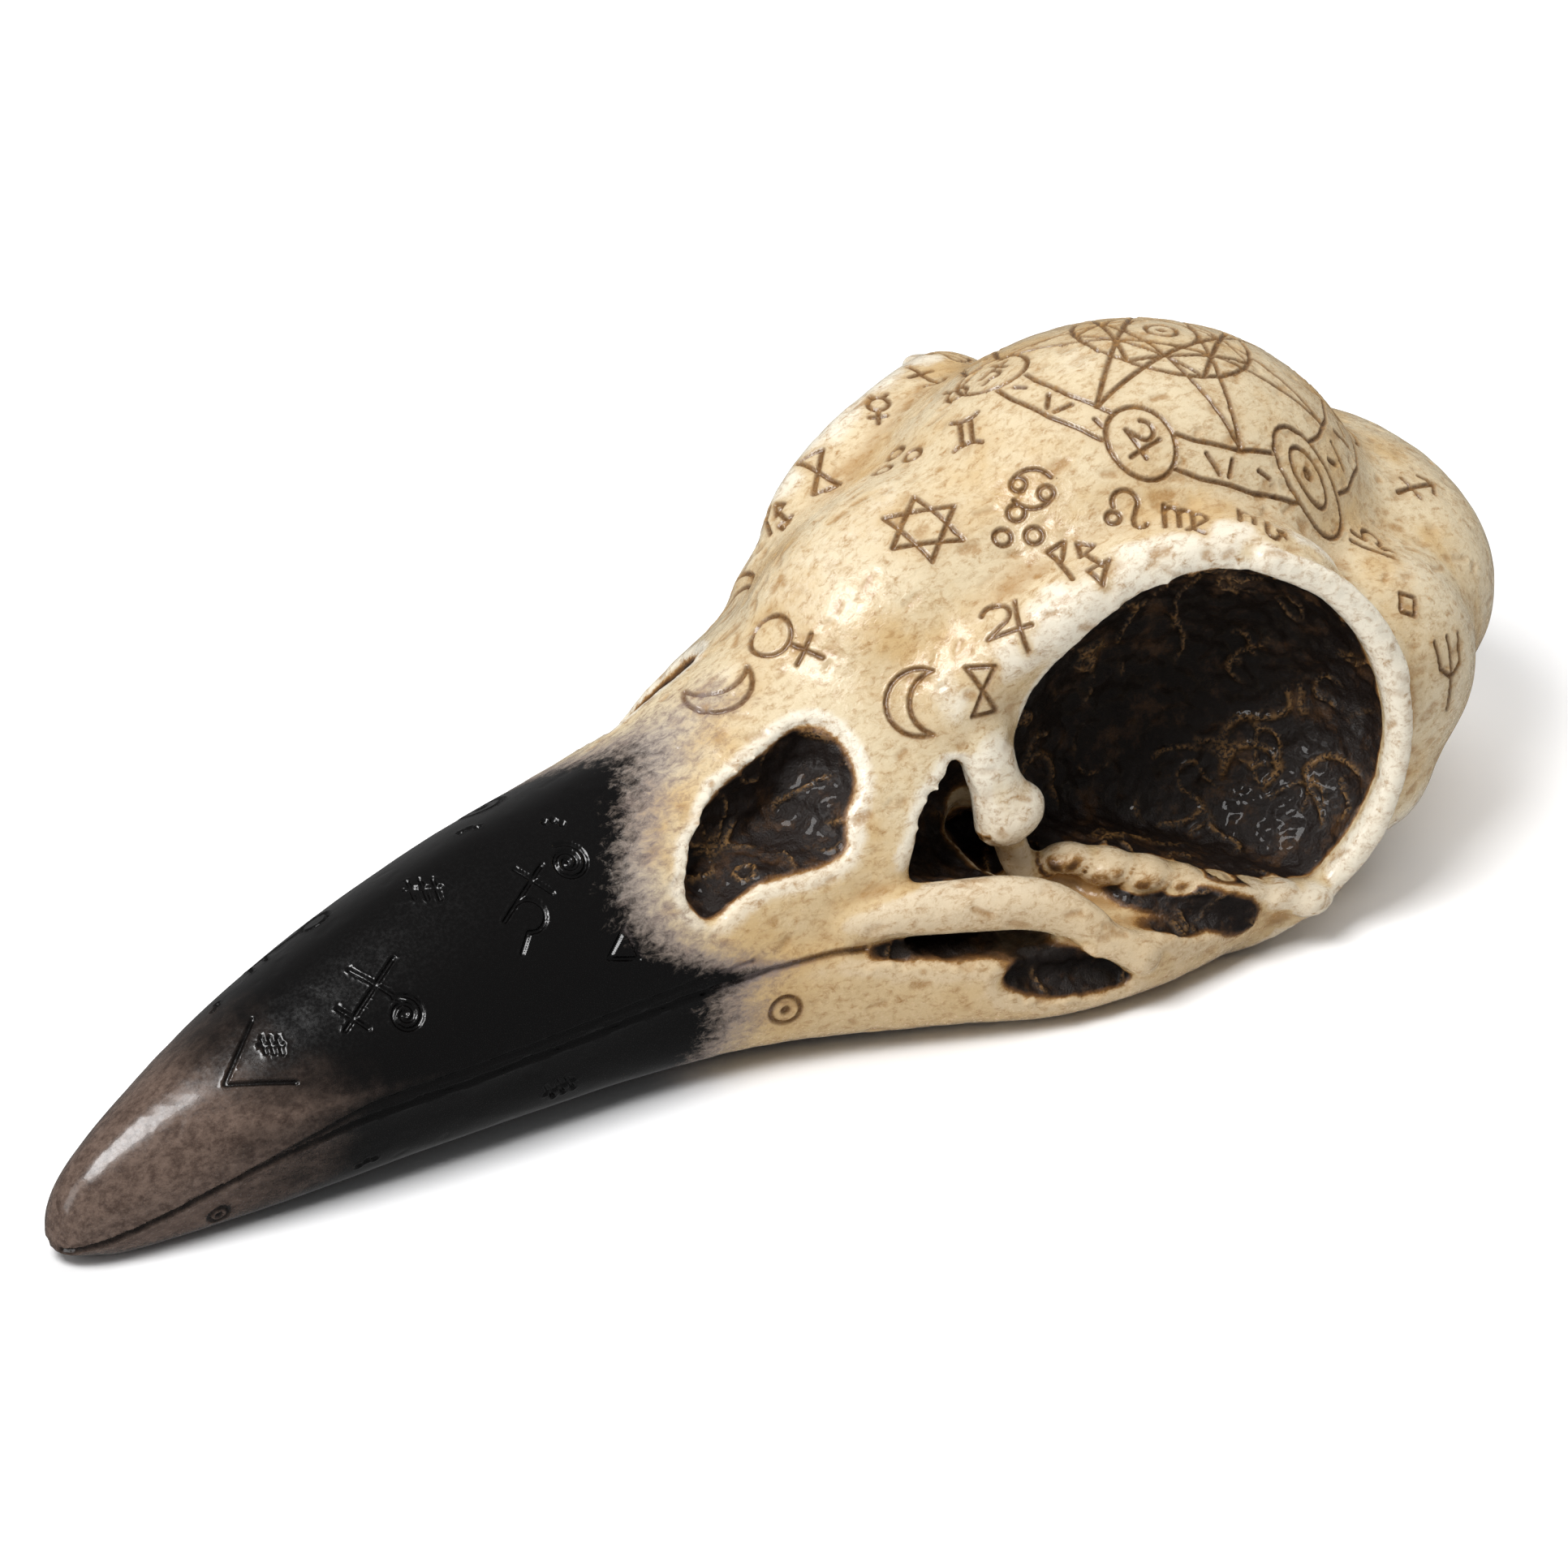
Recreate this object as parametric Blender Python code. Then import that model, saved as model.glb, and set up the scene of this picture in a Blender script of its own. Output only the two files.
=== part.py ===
"""Raven skull ornament, cast in resin: a large domed cranium, a stout closed bill and a lower jaw.

The bill points to -X, +Z is up and the skull is symmetric about the plane Y = 0.
Sizes below are in millimetres, measured from the bill tip (X), the middle plane (Y) and the table (Z).
"""

import math

import bmesh
import bpy
from mathutils import Matrix, Vector

MM = 0.001

# Driving dimensions, in millimetres
BILL_ROOT = 112.0
ORBIT_CENTRE = (145.8, -31.2, 26.9)
ORBIT_RADIUS = 24.0
ORBIT_TURN = 24.0
ORBIT_TILT = 6.0
ORBIT_DEPTH = 17.0
RIM_THICKNESS = 2.1
JAW_WALL = 7.5

# How finely the forms are fused, and how far their meeting edges are rounded off
BODY_VOXEL = 1.6
CUTTER_VOXEL = 0.8
FINE_VOXEL = 0.9
TRIANGLES = 9000
PARTING_GAP = 0.3

SIDES = (-1, 1)


def smooth_curve(knots):
    """A smooth function through (x, value) knots that never overshoots between two of them."""
    xs = [k[0] for k in knots]
    ys = [k[1] for k in knots]
    steps = [(ys[i + 1] - ys[i]) / (xs[i + 1] - xs[i]) for i in range(len(xs) - 1)]
    slopes = [steps[0]]
    for before, after in zip(steps, steps[1:]):
        same_way = before * after > 0
        slopes.append(2 * before * after / (before + after) if same_way else 0.0)
    slopes.append(steps[-1])

    def value(x):
        if x <= xs[0]:
            return ys[0]
        if x >= xs[-1]:
            return ys[-1]
        i = max(n for n in range(len(xs) - 1) if xs[n] <= x)
        width = xs[i + 1] - xs[i]
        t = (x - xs[i]) / width
        return (
            ys[i] * (1 + 2 * t) * (1 - t) ** 2
            + ys[i + 1] * (3 - 2 * t) * t * t
            + width * (slopes[i] * t * (1 - t) ** 2 - slopes[i + 1] * (1 - t) * t * t)
        )

    return value


# Outlines of the bill, each against the distance from its tip
culmen_height = smooth_curve(
    (
        (-4.6, 3.5), (-3.6, 8), (-1, 11.5), (5, 15.3), (14, 19.4), (31, 25.7), (47, 31), (60, 33.9),
        (72, 35.2), (80, 36), (87, 37.4), (93, 39.8), (99, 41.9), (105, 44.4), (BILL_ROOT, 48),
        (120, 52),
    )
)
gape_height = smooth_curve(
    (
        (-4.6, 2.2), (6, 5.5), (20, 9.8), (33, 12.2), (55, 13.0), (77, 14.3), (92, 15.2), (101, 14.5),
        (112, 12.6), (126, 10.8), (150, 9.5),
    )
)
gape_half_width = smooth_curve(
    (
        (-4.6, 0.8), (-3, 3.6), (2, 6.2), (13, 9.6), (26, 12.9), (40, 15.4), (55, 17.2), (70, 19),
        (85, 21.2), (100, 24.6), (112, 27.5), (120, 28),
    )
)
jaw_half_width = smooth_curve(
    (
        (-3, 1.0), (3, 5.0), (13, 8.3), (26, 11.6), (40, 14.3), (55, 16.2), (70, 18.2), (85, 21.8),
        (97, 27), (110, 33.4), (122, 38.5), (134, 40.3), (152, 39),
    )
)
jaw_bottom = smooth_curve(
    (
        (-3, 1.5), (2, -0.6), (24, -0.8), (45, -0.1), (90, 0.3), (110, -0.6), (121, -1.8), (152, -1.8),
    )
)


def add_shell(form, rings):
    """Adds one closed shell to a form: rings of points joined in order, with its first and last ring filled."""
    loops = [[form.verts.new(Vector(p) * MM) for p in ring] for ring in rings]
    for a, b in zip(loops, loops[1:]):
        for i in range(len(a)):
            j = (i + 1) % len(a)
            form.faces.new((a[i], a[j], b[j], b[i]))
    form.faces.new(loops[0])
    form.faces.new(loops[-1])


def add_ellipsoid(form, centre, radii, turn=0.0, tilt=0.0):
    """Adds an ellipsoid. turn is about Z and tilt about its own Y, both in degrees."""
    place = (
        Matrix.Translation(Vector(centre) * MM)
        @ Matrix.Rotation(math.radians(turn), 4, "Z")
        @ Matrix.Rotation(math.radians(tilt), 4, "Y")
        @ Matrix.Diagonal((*[r * MM for r in radii], 1.0))
    )
    bmesh.ops.create_icosphere(form, subdivisions=4, radius=1.0, matrix=place)


def spline(points, per_span=8):
    """Points along a Catmull-Rom curve through the given points, whatever number of values each has."""
    padded = [points[0], *points, points[-1]]
    out = []
    for i in range(1, len(padded) - 2):
        p0, p1, p2, p3 = padded[i - 1 : i + 3]
        for k in range(per_span):
            t = k / per_span
            out.append(
                tuple(
                    b + 0.5 * ((c - a) * t + (2 * a - 5 * b + 4 * c - d) * t**2 + (3 * b - a - 3 * c + d) * t**3)
                    for a, b, c, d in zip(p0, p1, p2, p3)
                )
            )
    out.append(tuple(points[-1]))
    return out


def add_rod(form, stations, flat=1.0, around=16, lie=(0, 0, 1)):
    """Adds a round-ended rod through (x, y, z, radius) stations.

    flat is how much wider it is across lie than along it; lie is never along the rod.
    """
    path = spline(stations)
    centres = [Vector(p[:3]) for p in path]
    radii = [p[3] for p in path]
    end = len(path) - 1
    heading = [(centres[min(i + 1, end)] - centres[max(i - 1, 0)]).normalized() for i in range(len(path))]
    rings = []
    caps = 5
    for i in range(-caps, len(path) + caps):
        n = min(max(i, 0), end)
        beyond = max(-0.98, min(0.98, (i - n) / caps))
        centre = centres[n] + heading[n] * radii[n] * math.sin(beyond * math.pi / 2)
        radius = radii[n] * math.cos(beyond * math.pi / 2)
        side = heading[n].cross(Vector(lie)).normalized()
        up = side.cross(heading[n])
        rings.append(
            [
                centre + side * radius * flat * math.cos(a) + up * radius * math.sin(a)
                for a in (2 * math.pi * k / around for k in range(around))
            ]
        )
    add_shell(form, rings)


def mirrored(point, side):
    """A point given for the skull's left, -Y, moved to the side asked for."""
    return (point[0], -point[1] * side, *point[2:])


def new_form():
    return bmesh.new()


def object_of(form, name):
    bmesh.ops.recalc_face_normals(form, faces=form.faces)
    mesh = bpy.data.meshes.new(name)
    form.to_mesh(mesh)
    form.free()
    obj = bpy.data.objects.new(name, mesh)
    bpy.context.scene.collection.objects.link(obj)
    return obj


def apply_modifiers(obj):
    """Replaces the object's mesh with what its modifiers make of it."""
    graph = bpy.context.evaluated_depsgraph_get()
    made = bpy.data.meshes.new_from_object(obj.evaluated_get(graph))
    obj.modifiers.clear()
    obj.data = made
    return obj


def fuse(obj, voxel, rounding):
    """Fuses an object's overlapping shells into one skin and rounds its edges over about rounding millimetres."""
    remesh = obj.modifiers.new("fuse", "REMESH")
    remesh.mode = "VOXEL"
    remesh.voxel_size = voxel * MM
    smooth = obj.modifiers.new("round", "SMOOTH")
    smooth.factor = 0.5
    smooth.iterations = max(1, round(3 * (rounding / voxel) ** 2))
    return apply_modifiers(obj)


def carve(obj, cutter, solver="EXACT", operation="DIFFERENCE"):
    """Cuts a closed solid out of an object, or keeps only what is inside it, and removes the cutter."""
    cut = obj.modifiers.new("carve", "BOOLEAN")
    cut.operation = operation
    cut.solver = solver
    cut.object = cutter
    apply_modifiers(obj)
    bpy.data.objects.remove(cutter)
    return obj


def join(obj, other):
    """Moves another object's shells into this one."""
    form = bmesh.new()
    form.from_mesh(obj.data)
    form.from_mesh(other.data)
    form.to_mesh(obj.data)
    form.free()
    bpy.data.objects.remove(other)
    return obj


def steps(low, high, count):
    return [low + (high - low) * i / (count - 1) for i in range(count)]


def bill_rings(around=40):
    """Sections of the upper bill: a narrow arch above the gape, nearly flat below it."""
    rings = []
    for x in [-4.6, -4.2, -3.5, -2.5, -1, 0.5, 2.5, 5, *steps(8, 120, 40)]:
        half, top, base = gape_half_width(x), culmen_height(x), gape_height(x)
        ring = []
        for k in range(around):
            a = 2 * math.pi * k / around
            y = half * math.copysign(abs(math.cos(a)) ** 1.35, math.cos(a))
            rise = math.sin(a)
            z = base + ((top - base) * rise**0.95 if rise > 0 else 2.0 * rise)
            ring.append((x, y, z))
        rings.append(ring)
    return rings


def jaw_rings(around=36):
    """Sections of the lower jaw: a rounded keel under the bill, squarer further back."""
    rings = []
    for x in [-3, -2, -0.5, 3, *steps(6, 152, 48)]:
        half, top, base = jaw_half_width(x), gape_height(x) - 0.4, jaw_bottom(x)
        square = min(1, max(0, (x - 40) / 60))
        ring = []
        for k in range(around):
            a = 2 * math.pi * k / around
            y = half * math.copysign(abs(math.cos(a)) ** (0.7 - 0.3 * square), math.cos(a))
            rise = math.sin(a)
            z = top + (1.4 * rise if rise > 0 else (top - base) * -abs(rise) ** (0.8 - 0.3 * square))
            ring.append((x, y, z))
        rings.append(ring)
    return rings


def orbit_frame(side):
    """Centre, outward normal, rearward axis and upward axis of one orbit's rim."""
    turn, tilt = math.radians(ORBIT_TURN), math.radians(ORBIT_TILT)
    out = Vector((-math.sin(turn) * math.cos(tilt), -math.cos(turn) * math.cos(tilt), math.sin(tilt)))
    back = Vector((math.cos(turn), -math.sin(turn), 0))
    up = out.cross(back) * -1
    return [Vector(mirrored(tuple(v), side)) for v in (Vector(ORBIT_CENTRE), out, back, up)]


def orbit_point(side, angle, radius, depth=0.0):
    """A point round an orbit's rim. Angle 0 is its rear, 90 degrees its top; depth is into the skull."""
    centre, out, back, up = orbit_frame(side)
    a = math.radians(angle)
    return centre + (back * math.cos(a) + up * math.sin(a)) * radius - out * depth


def add_orbit_housing(form, side, around=48):
    """Adds the drum of bone that carries an orbit's rim, sunk into the side of the cranium."""
    rings = []
    for depth, radius in ((-0.5, 25), (2, 26), (5, 26.2), (9, 25.7), (14, 23), (20, 16)):
        ring = []
        for k in range(around):
            angle = 360 * k / around
            point = orbit_point(side, angle, radius, depth)
            point.z = max(point.z, 4.0)
            ring.append(point)
        rings.append(ring)
    add_shell(form, rings)


def add_prism(form, outline, y_outer, y_inner, side, shrink=0.0):
    """Adds a prism along Y whose outline is a smooth closed curve through (x, z) points.

    Its inner end is drawn in by shrink of its size.
    """
    n = len(outline)
    closed = [outline[(i - 1) % n] for i in range(n + 3)]
    path = spline(closed, 6)[6:-7]
    cx = sum(p[0] for p in outline) / n
    cz = sum(p[1] for p in outline) / n
    rings = []
    for t in steps(0, 1, 7):
        k = 1 - shrink * t**4
        y = y_outer + (y_inner - y_outer) * t
        rings.append([(cx + (x - cx) * k, -y * side, cz + (z - cz) * k) for x, z in path])
    add_shell(form, rings)


def add_orbit_rim(form, side):
    """Adds the raised rim of an orbit, an arc that is open at its lower front."""
    stations = []
    for angle in range(-70, 171, 20):
        fade = 1 if -50 < angle else 0.9
        stations.append((*orbit_point(side, angle, ORBIT_RADIUS + RIM_THICKNESS * 0.8), RIM_THICKNESS * fade))
    add_rod(form, stations, lie=orbit_frame(side)[1])


def orbit_floor(x):
    """Height of the rough floor that crosses each orbit's lower front."""
    return 20.5 - 0.36 * (x - 121)


def add_ramp(form, side, route, flat=1.0, lie=(0, 0, 1)):
    """Adds a rod whose route is given for the left of the skull."""
    add_rod(form, [mirrored(p, side) for p in route], flat, lie=lie)


def brain_case():
    """The cranium and brows, rounded into one another."""
    form = new_form()
    add_ellipsoid(form, (157.5, 0, 34), (38, 29, 32))
    add_ellipsoid(form, (186.5, 0, 25.5), (26, 30.5, 19))
    add_ellipsoid(form, (132, 0, 36), (30, 19.5, 21.5))
    add_ellipsoid(form, (168, 0, 20), (36, 28, 15))
    for side in SIDES:
        add_ellipsoid(form, (173.5, 25.3 * side, 25.5), (20, 15, 17))
        add_ellipsoid(form, (172, 29 * side, 12.5), (13, 9.5, 7.8))
        add_ellipsoid(form, (163, 27.5 * side, 27), (17, 12, 17))
        add_ramp(form, side, BROW)
        add_orbit_housing(form, side)
    return fuse(object_of(form, "brain_case"), BODY_VOXEL, 3.6)


def body():
    """The cranium, face and both jaws before anything is hollowed out."""
    form = new_form()
    add_ellipsoid(form, (124, 0, 26), (50, 14, 13))
    for side in SIDES:
        add_ellipsoid(form, (120.5, 14.5 * side, 37), (8.5, 8, 8.5))
        add_ellipsoid(form, (148, 34 * side, 8.5), (9, 6, 8))
    add_shell(form, bill_rings())
    add_shell(form, jaw_rings())
    return fuse(join(object_of(form, "body"), brain_case()), BODY_VOXEL, 1.8)


BROW = (
    (113, -12, 34, 4.5), (119, -16, 38, 4.5), (125.4, -20.6, 44.6, 4.5), (135, -23.2, 49.4, 4.5),
    (146, -25.6, 51.2, 4.5), (156, -29, 50.3, 4.5), (163, -31.3, 45.5, 4.5),
)
NARIS_OUTLINE = (
    (105.6, 40.3), (105.6, 36.8), (103.9, 32.2), (100.6, 29.2), (99.3, 26), (94.7, 24.6), (88, 24.3),
    (82.6, 22.9), (78.7, 21.4), (76.1, 24.4), (79.5, 30), (86, 34.9), (91.6, 37.1), (97.6, 39.1),
    (102.2, 41),
)
ANTORBITAL_OUTLINE = (
    (116, 34.6), (112.4, 31.7), (109.2, 30.2), (107.2, 26.8), (104.9, 23.8), (101.6, 20.4), (108, 19.2),
    (116, 17.4), (124, 14.8), (130.5, 12.8), (132, 17), (126, 22), (119.6, 29),
)
SLOT = (
    (97, -22, 15, 0.9), (104.6, -24.5, 14.4, 1.5), (112, -28, 13.3, 1.5), (118.5, -31, 12.1, 1.3),
    (123.5, -34, 11, 0.8),
)
CHANNEL = (
    (112, -27, 24, 5.5), (121, -28, 20, 4.8), (128, -33, 15.6, 3.6), (134, -36.5, 12.2, 3.1),
    (140, -39.5, 9.9, 2.7), (146, -41.8, 7.4, 1.9),
)


def hollows():
    """What is hollowed out of the casting: orbits, nostrils, the openings of the face and the gap under it."""
    form = new_form()
    for side in SIDES:
        centre, out, back, up = orbit_frame(side)
        place = (
            Matrix.Translation(centre * MM)
            @ Matrix((back, up, out)).transposed().to_4x4()
            @ Matrix.Diagonal((ORBIT_RADIUS * MM, ORBIT_RADIUS * MM, ORBIT_DEPTH * MM, 1.0))
        )
        for vert in bmesh.ops.create_icosphere(form, subdivisions=4, radius=1.0, matrix=place)["verts"]:
            vert.co.z = max(vert.co.z, orbit_floor(vert.co.x / MM) * MM)
        add_prism(form, NARIS_OUTLINE, -40, -9, side, 0.3)
        add_prism(form, ANTORBITAL_OUTLINE, -45, -14, side, 0.3)
        add_ramp(form, side, CHANNEL)
        add_ramp(form, side, SLOT, flat=8)
        add_ellipsoid(form, (120, 38.5 * side, 7.3), (12, 5.4, 2.9), turn=13 * side, tilt=9)
        add_ellipsoid(form, (118, 21.5 * side, 24), (9, 8, 8))
    rings = []
    for x in (64, 72, 82, 94, 108, 122, 136, 150, 170):
        half = jaw_half_width(x) - JAW_WALL
        top = 9.5 - 4.5 * (x - 64) / 90
        arch = [(half, top - 3), (half - 3, top), (3 - half, top), (-half, top - 3)]
        rings.append([(x, y, z) for y, z in [(-half, -4), (half, -4), *arch]])
    add_shell(form, rings)
    return fuse(object_of(form, "hollows"), CUTTER_VOXEL, 0.5)


JUGAL = (
    (97, -22, 17.6, 3), (104, -25.5, 18, 3.1), (112, -28.6, 17.3, 3.4), (119, -31.8, 16.2, 3.3),
    (123.5, -34.8, 13.6, 2.8), (126.5, -37, 10.6, 2.3), (130, -38.5, 8, 2.6),
)
LACRIMAL = ((122, -17.5, 40, 3), (120.2, -21, 33, 2.8), (120.8, -22.6, 27.5, 2.8), (122, -23.4, 24, 3.8))
NASAL_BAR = (
    (110, -14, 35, 2.4), (109.3, -17, 32, 2.4), (106.3, -20.4, 25.4, 2.6), (101.8, -22.4, 17.3, 2.8),
)


def additions():
    """What stands proud in or over the hollows: rims, bars, tear bones and the rough floor of each orbit."""
    form = new_form()
    for side in SIDES:
        add_orbit_rim(form, side)
        add_ramp(form, side, JUGAL)
        add_ramp(form, side, LACRIMAL, flat=1.35, lie=(0, 1, 0))
        add_ramp(form, side, NASAL_BAR, lie=(0, 1, 0))
        for x in steps(129, 156, 8):
            y = 26 + 0.72 * (x - 129) - 0.008 * (x - 129) ** 2
            lump = 1.7 + 0.5 * math.sin(1.9 * x)
            radii = (lump + 1.6, lump + 1.2, lump)
            add_ellipsoid(form, (x, y * side, orbit_floor(x) - 1.3), radii, turn=30 * side)
    return object_of(form, "additions")


def table_slab():
    """A slab whose top is the table; it cuts flats where the jaw rests."""
    form = new_form()
    add_shell(form, [[(x, -80, -20), (x, 80, -20), (x, 80, 0), (x, -80, 0)] for x in (-40, 260)])
    return object_of(form, "table_slab")


def casting():
    """The whole ornament as one skin."""
    skull = body()
    carve(skull, hollows())
    join(skull, additions())
    return fuse(skull, FINE_VOXEL, 0.8)


def thin_out(obj, triangles):
    """Reduces an object to about that many triangles, keeping most where it bends most."""
    obj.data.calc_loop_triangles()
    thin = obj.modifiers.new("thin", "DECIMATE")
    thin.ratio = triangles / len(obj.data.loop_triangles)
    return apply_modifiers(obj)


def jaw_region(grow):
    """Everything below the gape, without the cranium's underside between the jaw's two branches."""
    form = new_form()
    rings = []
    for x in steps(-10, 157 + grow, 60):
        top = gape_height(x) + grow
        rings.append([(x, -60, -20), (x, 60, -20), (x, 60, top), (x, -60, top)])
    add_shell(form, rings)
    region = object_of(form, "jaw_region")
    form = new_form()
    rings = []
    for x in steps(64 + grow, 160, 30):
        half = jaw_half_width(x) - JAW_WALL - 0.8 - grow
        rings.append([(x, -half, -30), (x, half, -30), (x, half, 40), (x, -half, 40)])
    add_shell(form, rings)
    return carve(region, object_of(form, "between_branches"))


def bill_region(grow):
    """Everything in front of the hinge line between bill and cranium."""
    form = new_form()
    rings = []
    for z, x in ((-10, 110), (10, 110), (20, 112), (34, 113), (46, 109), (60, 106)):
        rings.append([(-20, -60, z), (x + grow, -60, z), (x + grow, 60, z), (-20, 60, z)])
    add_shell(form, rings)
    return object_of(form, "bill_region")


def side_region(name, side, stations, grow):
    """A block beside the skull's middle. Each station gives x, the block's start in y, and its z from low to high."""
    form = new_form()
    rings = []
    last = len(stations) - 1
    for i, (x, inner, low, high) in enumerate(stations):
        x += grow * ((i == last) - (i == 0))
        inner, low, high = inner - grow, low - grow, high + grow
        corners = ((inner, low), (60, low), (60, high), (inner, high))
        rings.append([(x, y * side, z) for y, z in corners])
    add_shell(form, rings)
    return object_of(form, name)


def jugal_region(side, grow):
    stations = [(x, 25.5 + 0.35 * (x - 110), -10, 26 - 0.45 * (x - 110)) for x in (109, 115, 122, 128, 134)]
    return side_region("jugal_region", side, stations, grow)


def lacrimal_region(side, grow):
    return side_region("lacrimal_region", side, [(112.5, 17, 18.5, 36), (130, 17, 18.5, 36)], grow)


def quadrate_region(side, grow):
    stations = [(134.5, 30, -10, 14), (146, 29, -10, 15), (158, 31, -10, 14)]
    return side_region("quadrate_region", side, stations, grow)


def keep_largest(obj):
    """Drops every shell of the object but the one with most faces."""
    form = bmesh.new()
    form.from_mesh(obj.data)
    left = set(form.faces)
    best = set()
    while left:
        shell, front = set(), [left.pop()]
        while front:
            face = front.pop()
            shell.add(face)
            for edge in face.edges:
                for other in edge.link_faces:
                    if other in left:
                        left.discard(other)
                        front.append(other)
        if len(shell) > len(best):
            best = shell
    bmesh.ops.delete(form, geom=[f for f in form.faces if f not in best], context="FACES")
    bmesh.ops.delete(form, geom=[v for v in form.verts if not v.link_faces], context="VERTS")
    form.to_mesh(obj.data)
    form.free()
    return obj


def take_piece(rest, name, region):
    """Cuts the part of the casting inside a region out as an object of its own, leaving a thin gap.

    The exact solver loses the casting at the last of these cuts, so they use the manifold one.
    """
    piece = bpy.data.objects.new(name, rest.data.copy())
    bpy.context.scene.collection.objects.link(piece)
    carve(piece, region(0), "MANIFOLD", "INTERSECT")
    carve(rest, region(PARTING_GAP), "MANIFOLD")
    return keep_largest(piece)


def part_into_pieces(rest):
    """Divides the casting where an anatomist names its parts."""
    pieces = [take_piece(rest, "lower_jaw", jaw_region), take_piece(rest, "upper_bill", bill_region)]
    small_bones = (("jugal_bar", jugal_region), ("lacrimal", lacrimal_region), ("quadrate", quadrate_region))
    for side, hand in zip(SIDES, ("left", "right")):
        for name, region in small_bones:
            pieces.append(take_piece(rest, f"{name}_{hand}", lambda grow, r=region, s=side: r(s, grow)))
    rest.name = "cranium"
    return [keep_largest(rest), *pieces]


def resin(name, colour, roughness):
    material = bpy.data.materials.new(name)
    material.use_nodes = True
    shader = material.node_tree.nodes["Principled BSDF"]
    shader.inputs["Base Color"].default_value = (*colour, 1)
    shader.inputs["Roughness"].default_value = roughness
    shader.inputs["Metallic"].default_value = 0.0
    return material


def clear_scene():
    for obj in list(bpy.data.objects):
        bpy.data.objects.remove(obj)


def centre_on_origin(objects):
    """Moves the meshes along X so that the origin is under the middle of the whole."""
    xs = [v.co.x for obj in objects for v in obj.data.vertices]
    middle = (min(xs) + max(xs)) / 2
    for obj in objects:
        obj.data.transform(Matrix.Translation((-middle, 0, 0)))


def main():
    clear_scene()
    skull = carve(thin_out(casting(), TRIANGLES), table_slab())
    pieces = part_into_pieces(skull)
    centre_on_origin(pieces)
    black = resin("black_resin", (0.02, 0.018, 0.016), 0.3)
    finishes = {
        "cranium": resin("bone_resin", (0.78, 0.66, 0.44), 0.4),
        "upper_bill": black,
        "lower_jaw": resin("jaw_resin", (0.6, 0.48, 0.3), 0.4),
    }
    for piece in pieces:
        fallback = resin(f"{piece.name}_resin", (0.74, 0.61, 0.4), 0.4) if piece.name not in finishes else None
        piece.data.materials.clear()
        piece.data.materials.append(finishes.get(piece.name, fallback))
        piece.data.shade_flat()


main()
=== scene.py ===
"""Looks of the raven skull ornament: a resin casting, engraved, rubbed with brown stain, its bill black.

Sizes are in millimetres from the bill tip (X), the middle plane (Y) and the table (Z). The finished skin is
moved along X so that the origin is under its middle, as the frame has it. The bill points to -X, and -Y is
the left side.
"""

import math
import random

import bmesh
import bpy
import numpy as np
from mathutils import Matrix, Vector
from mathutils.bvhtree import BVHTree
from mathutils.kdtree import KDTree


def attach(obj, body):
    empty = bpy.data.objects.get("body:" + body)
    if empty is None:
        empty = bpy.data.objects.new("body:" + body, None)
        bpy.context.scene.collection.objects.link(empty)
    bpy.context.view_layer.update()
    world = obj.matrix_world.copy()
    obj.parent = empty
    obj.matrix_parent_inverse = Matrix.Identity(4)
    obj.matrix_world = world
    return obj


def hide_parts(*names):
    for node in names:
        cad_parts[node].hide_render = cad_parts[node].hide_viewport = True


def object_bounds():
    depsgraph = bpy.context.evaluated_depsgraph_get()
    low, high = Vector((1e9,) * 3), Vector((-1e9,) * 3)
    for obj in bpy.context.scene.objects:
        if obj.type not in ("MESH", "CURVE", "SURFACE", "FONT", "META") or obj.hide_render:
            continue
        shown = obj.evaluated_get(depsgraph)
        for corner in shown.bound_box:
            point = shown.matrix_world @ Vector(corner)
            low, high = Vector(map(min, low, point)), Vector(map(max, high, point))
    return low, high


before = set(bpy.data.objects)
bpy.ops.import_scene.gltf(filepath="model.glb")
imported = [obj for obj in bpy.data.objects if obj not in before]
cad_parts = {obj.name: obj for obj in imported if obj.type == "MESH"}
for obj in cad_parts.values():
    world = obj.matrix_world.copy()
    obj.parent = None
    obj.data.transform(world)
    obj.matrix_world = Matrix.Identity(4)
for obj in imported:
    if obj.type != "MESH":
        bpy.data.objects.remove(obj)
CAD_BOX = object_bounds()

MM = 0.001

# The casting's driving dimensions
BILL_ROOT = 112.0
ORBIT_CENTRE = (145.8, -31.2, 26.9)
ORBIT_RADIUS = 24.0
ORBIT_TURN = 24.0
ORBIT_TILT = 6.0
ORBIT_DEPTH = 17.0
RIM_THICKNESS = 2.1
JAW_WALL = 7.5
BODY_VOXEL = 1.6
CUTTER_VOXEL = 0.8
FINE_VOXEL = 0.9
MIDDLE_X = 104.0

# The photograph and its camera
IMAGE_SIZE = (1932, 1931)
CAMERA_AZIMUTH = -40.0
CAMERA_ELEVATION = 30.0
CAMERA_DISTANCE = 1150.0
PIXELS_PER_MM = 10.2
FOCAL_PIXELS = PIXELS_PER_MM * CAMERA_DISTANCE
SENSOR_WIDTH = 36.0
TIP_PIXEL = (100, 1545)
MIDDLE_POINT = (110.0, 0.0, 30.0)

SIDES = (-1, 1)


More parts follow.
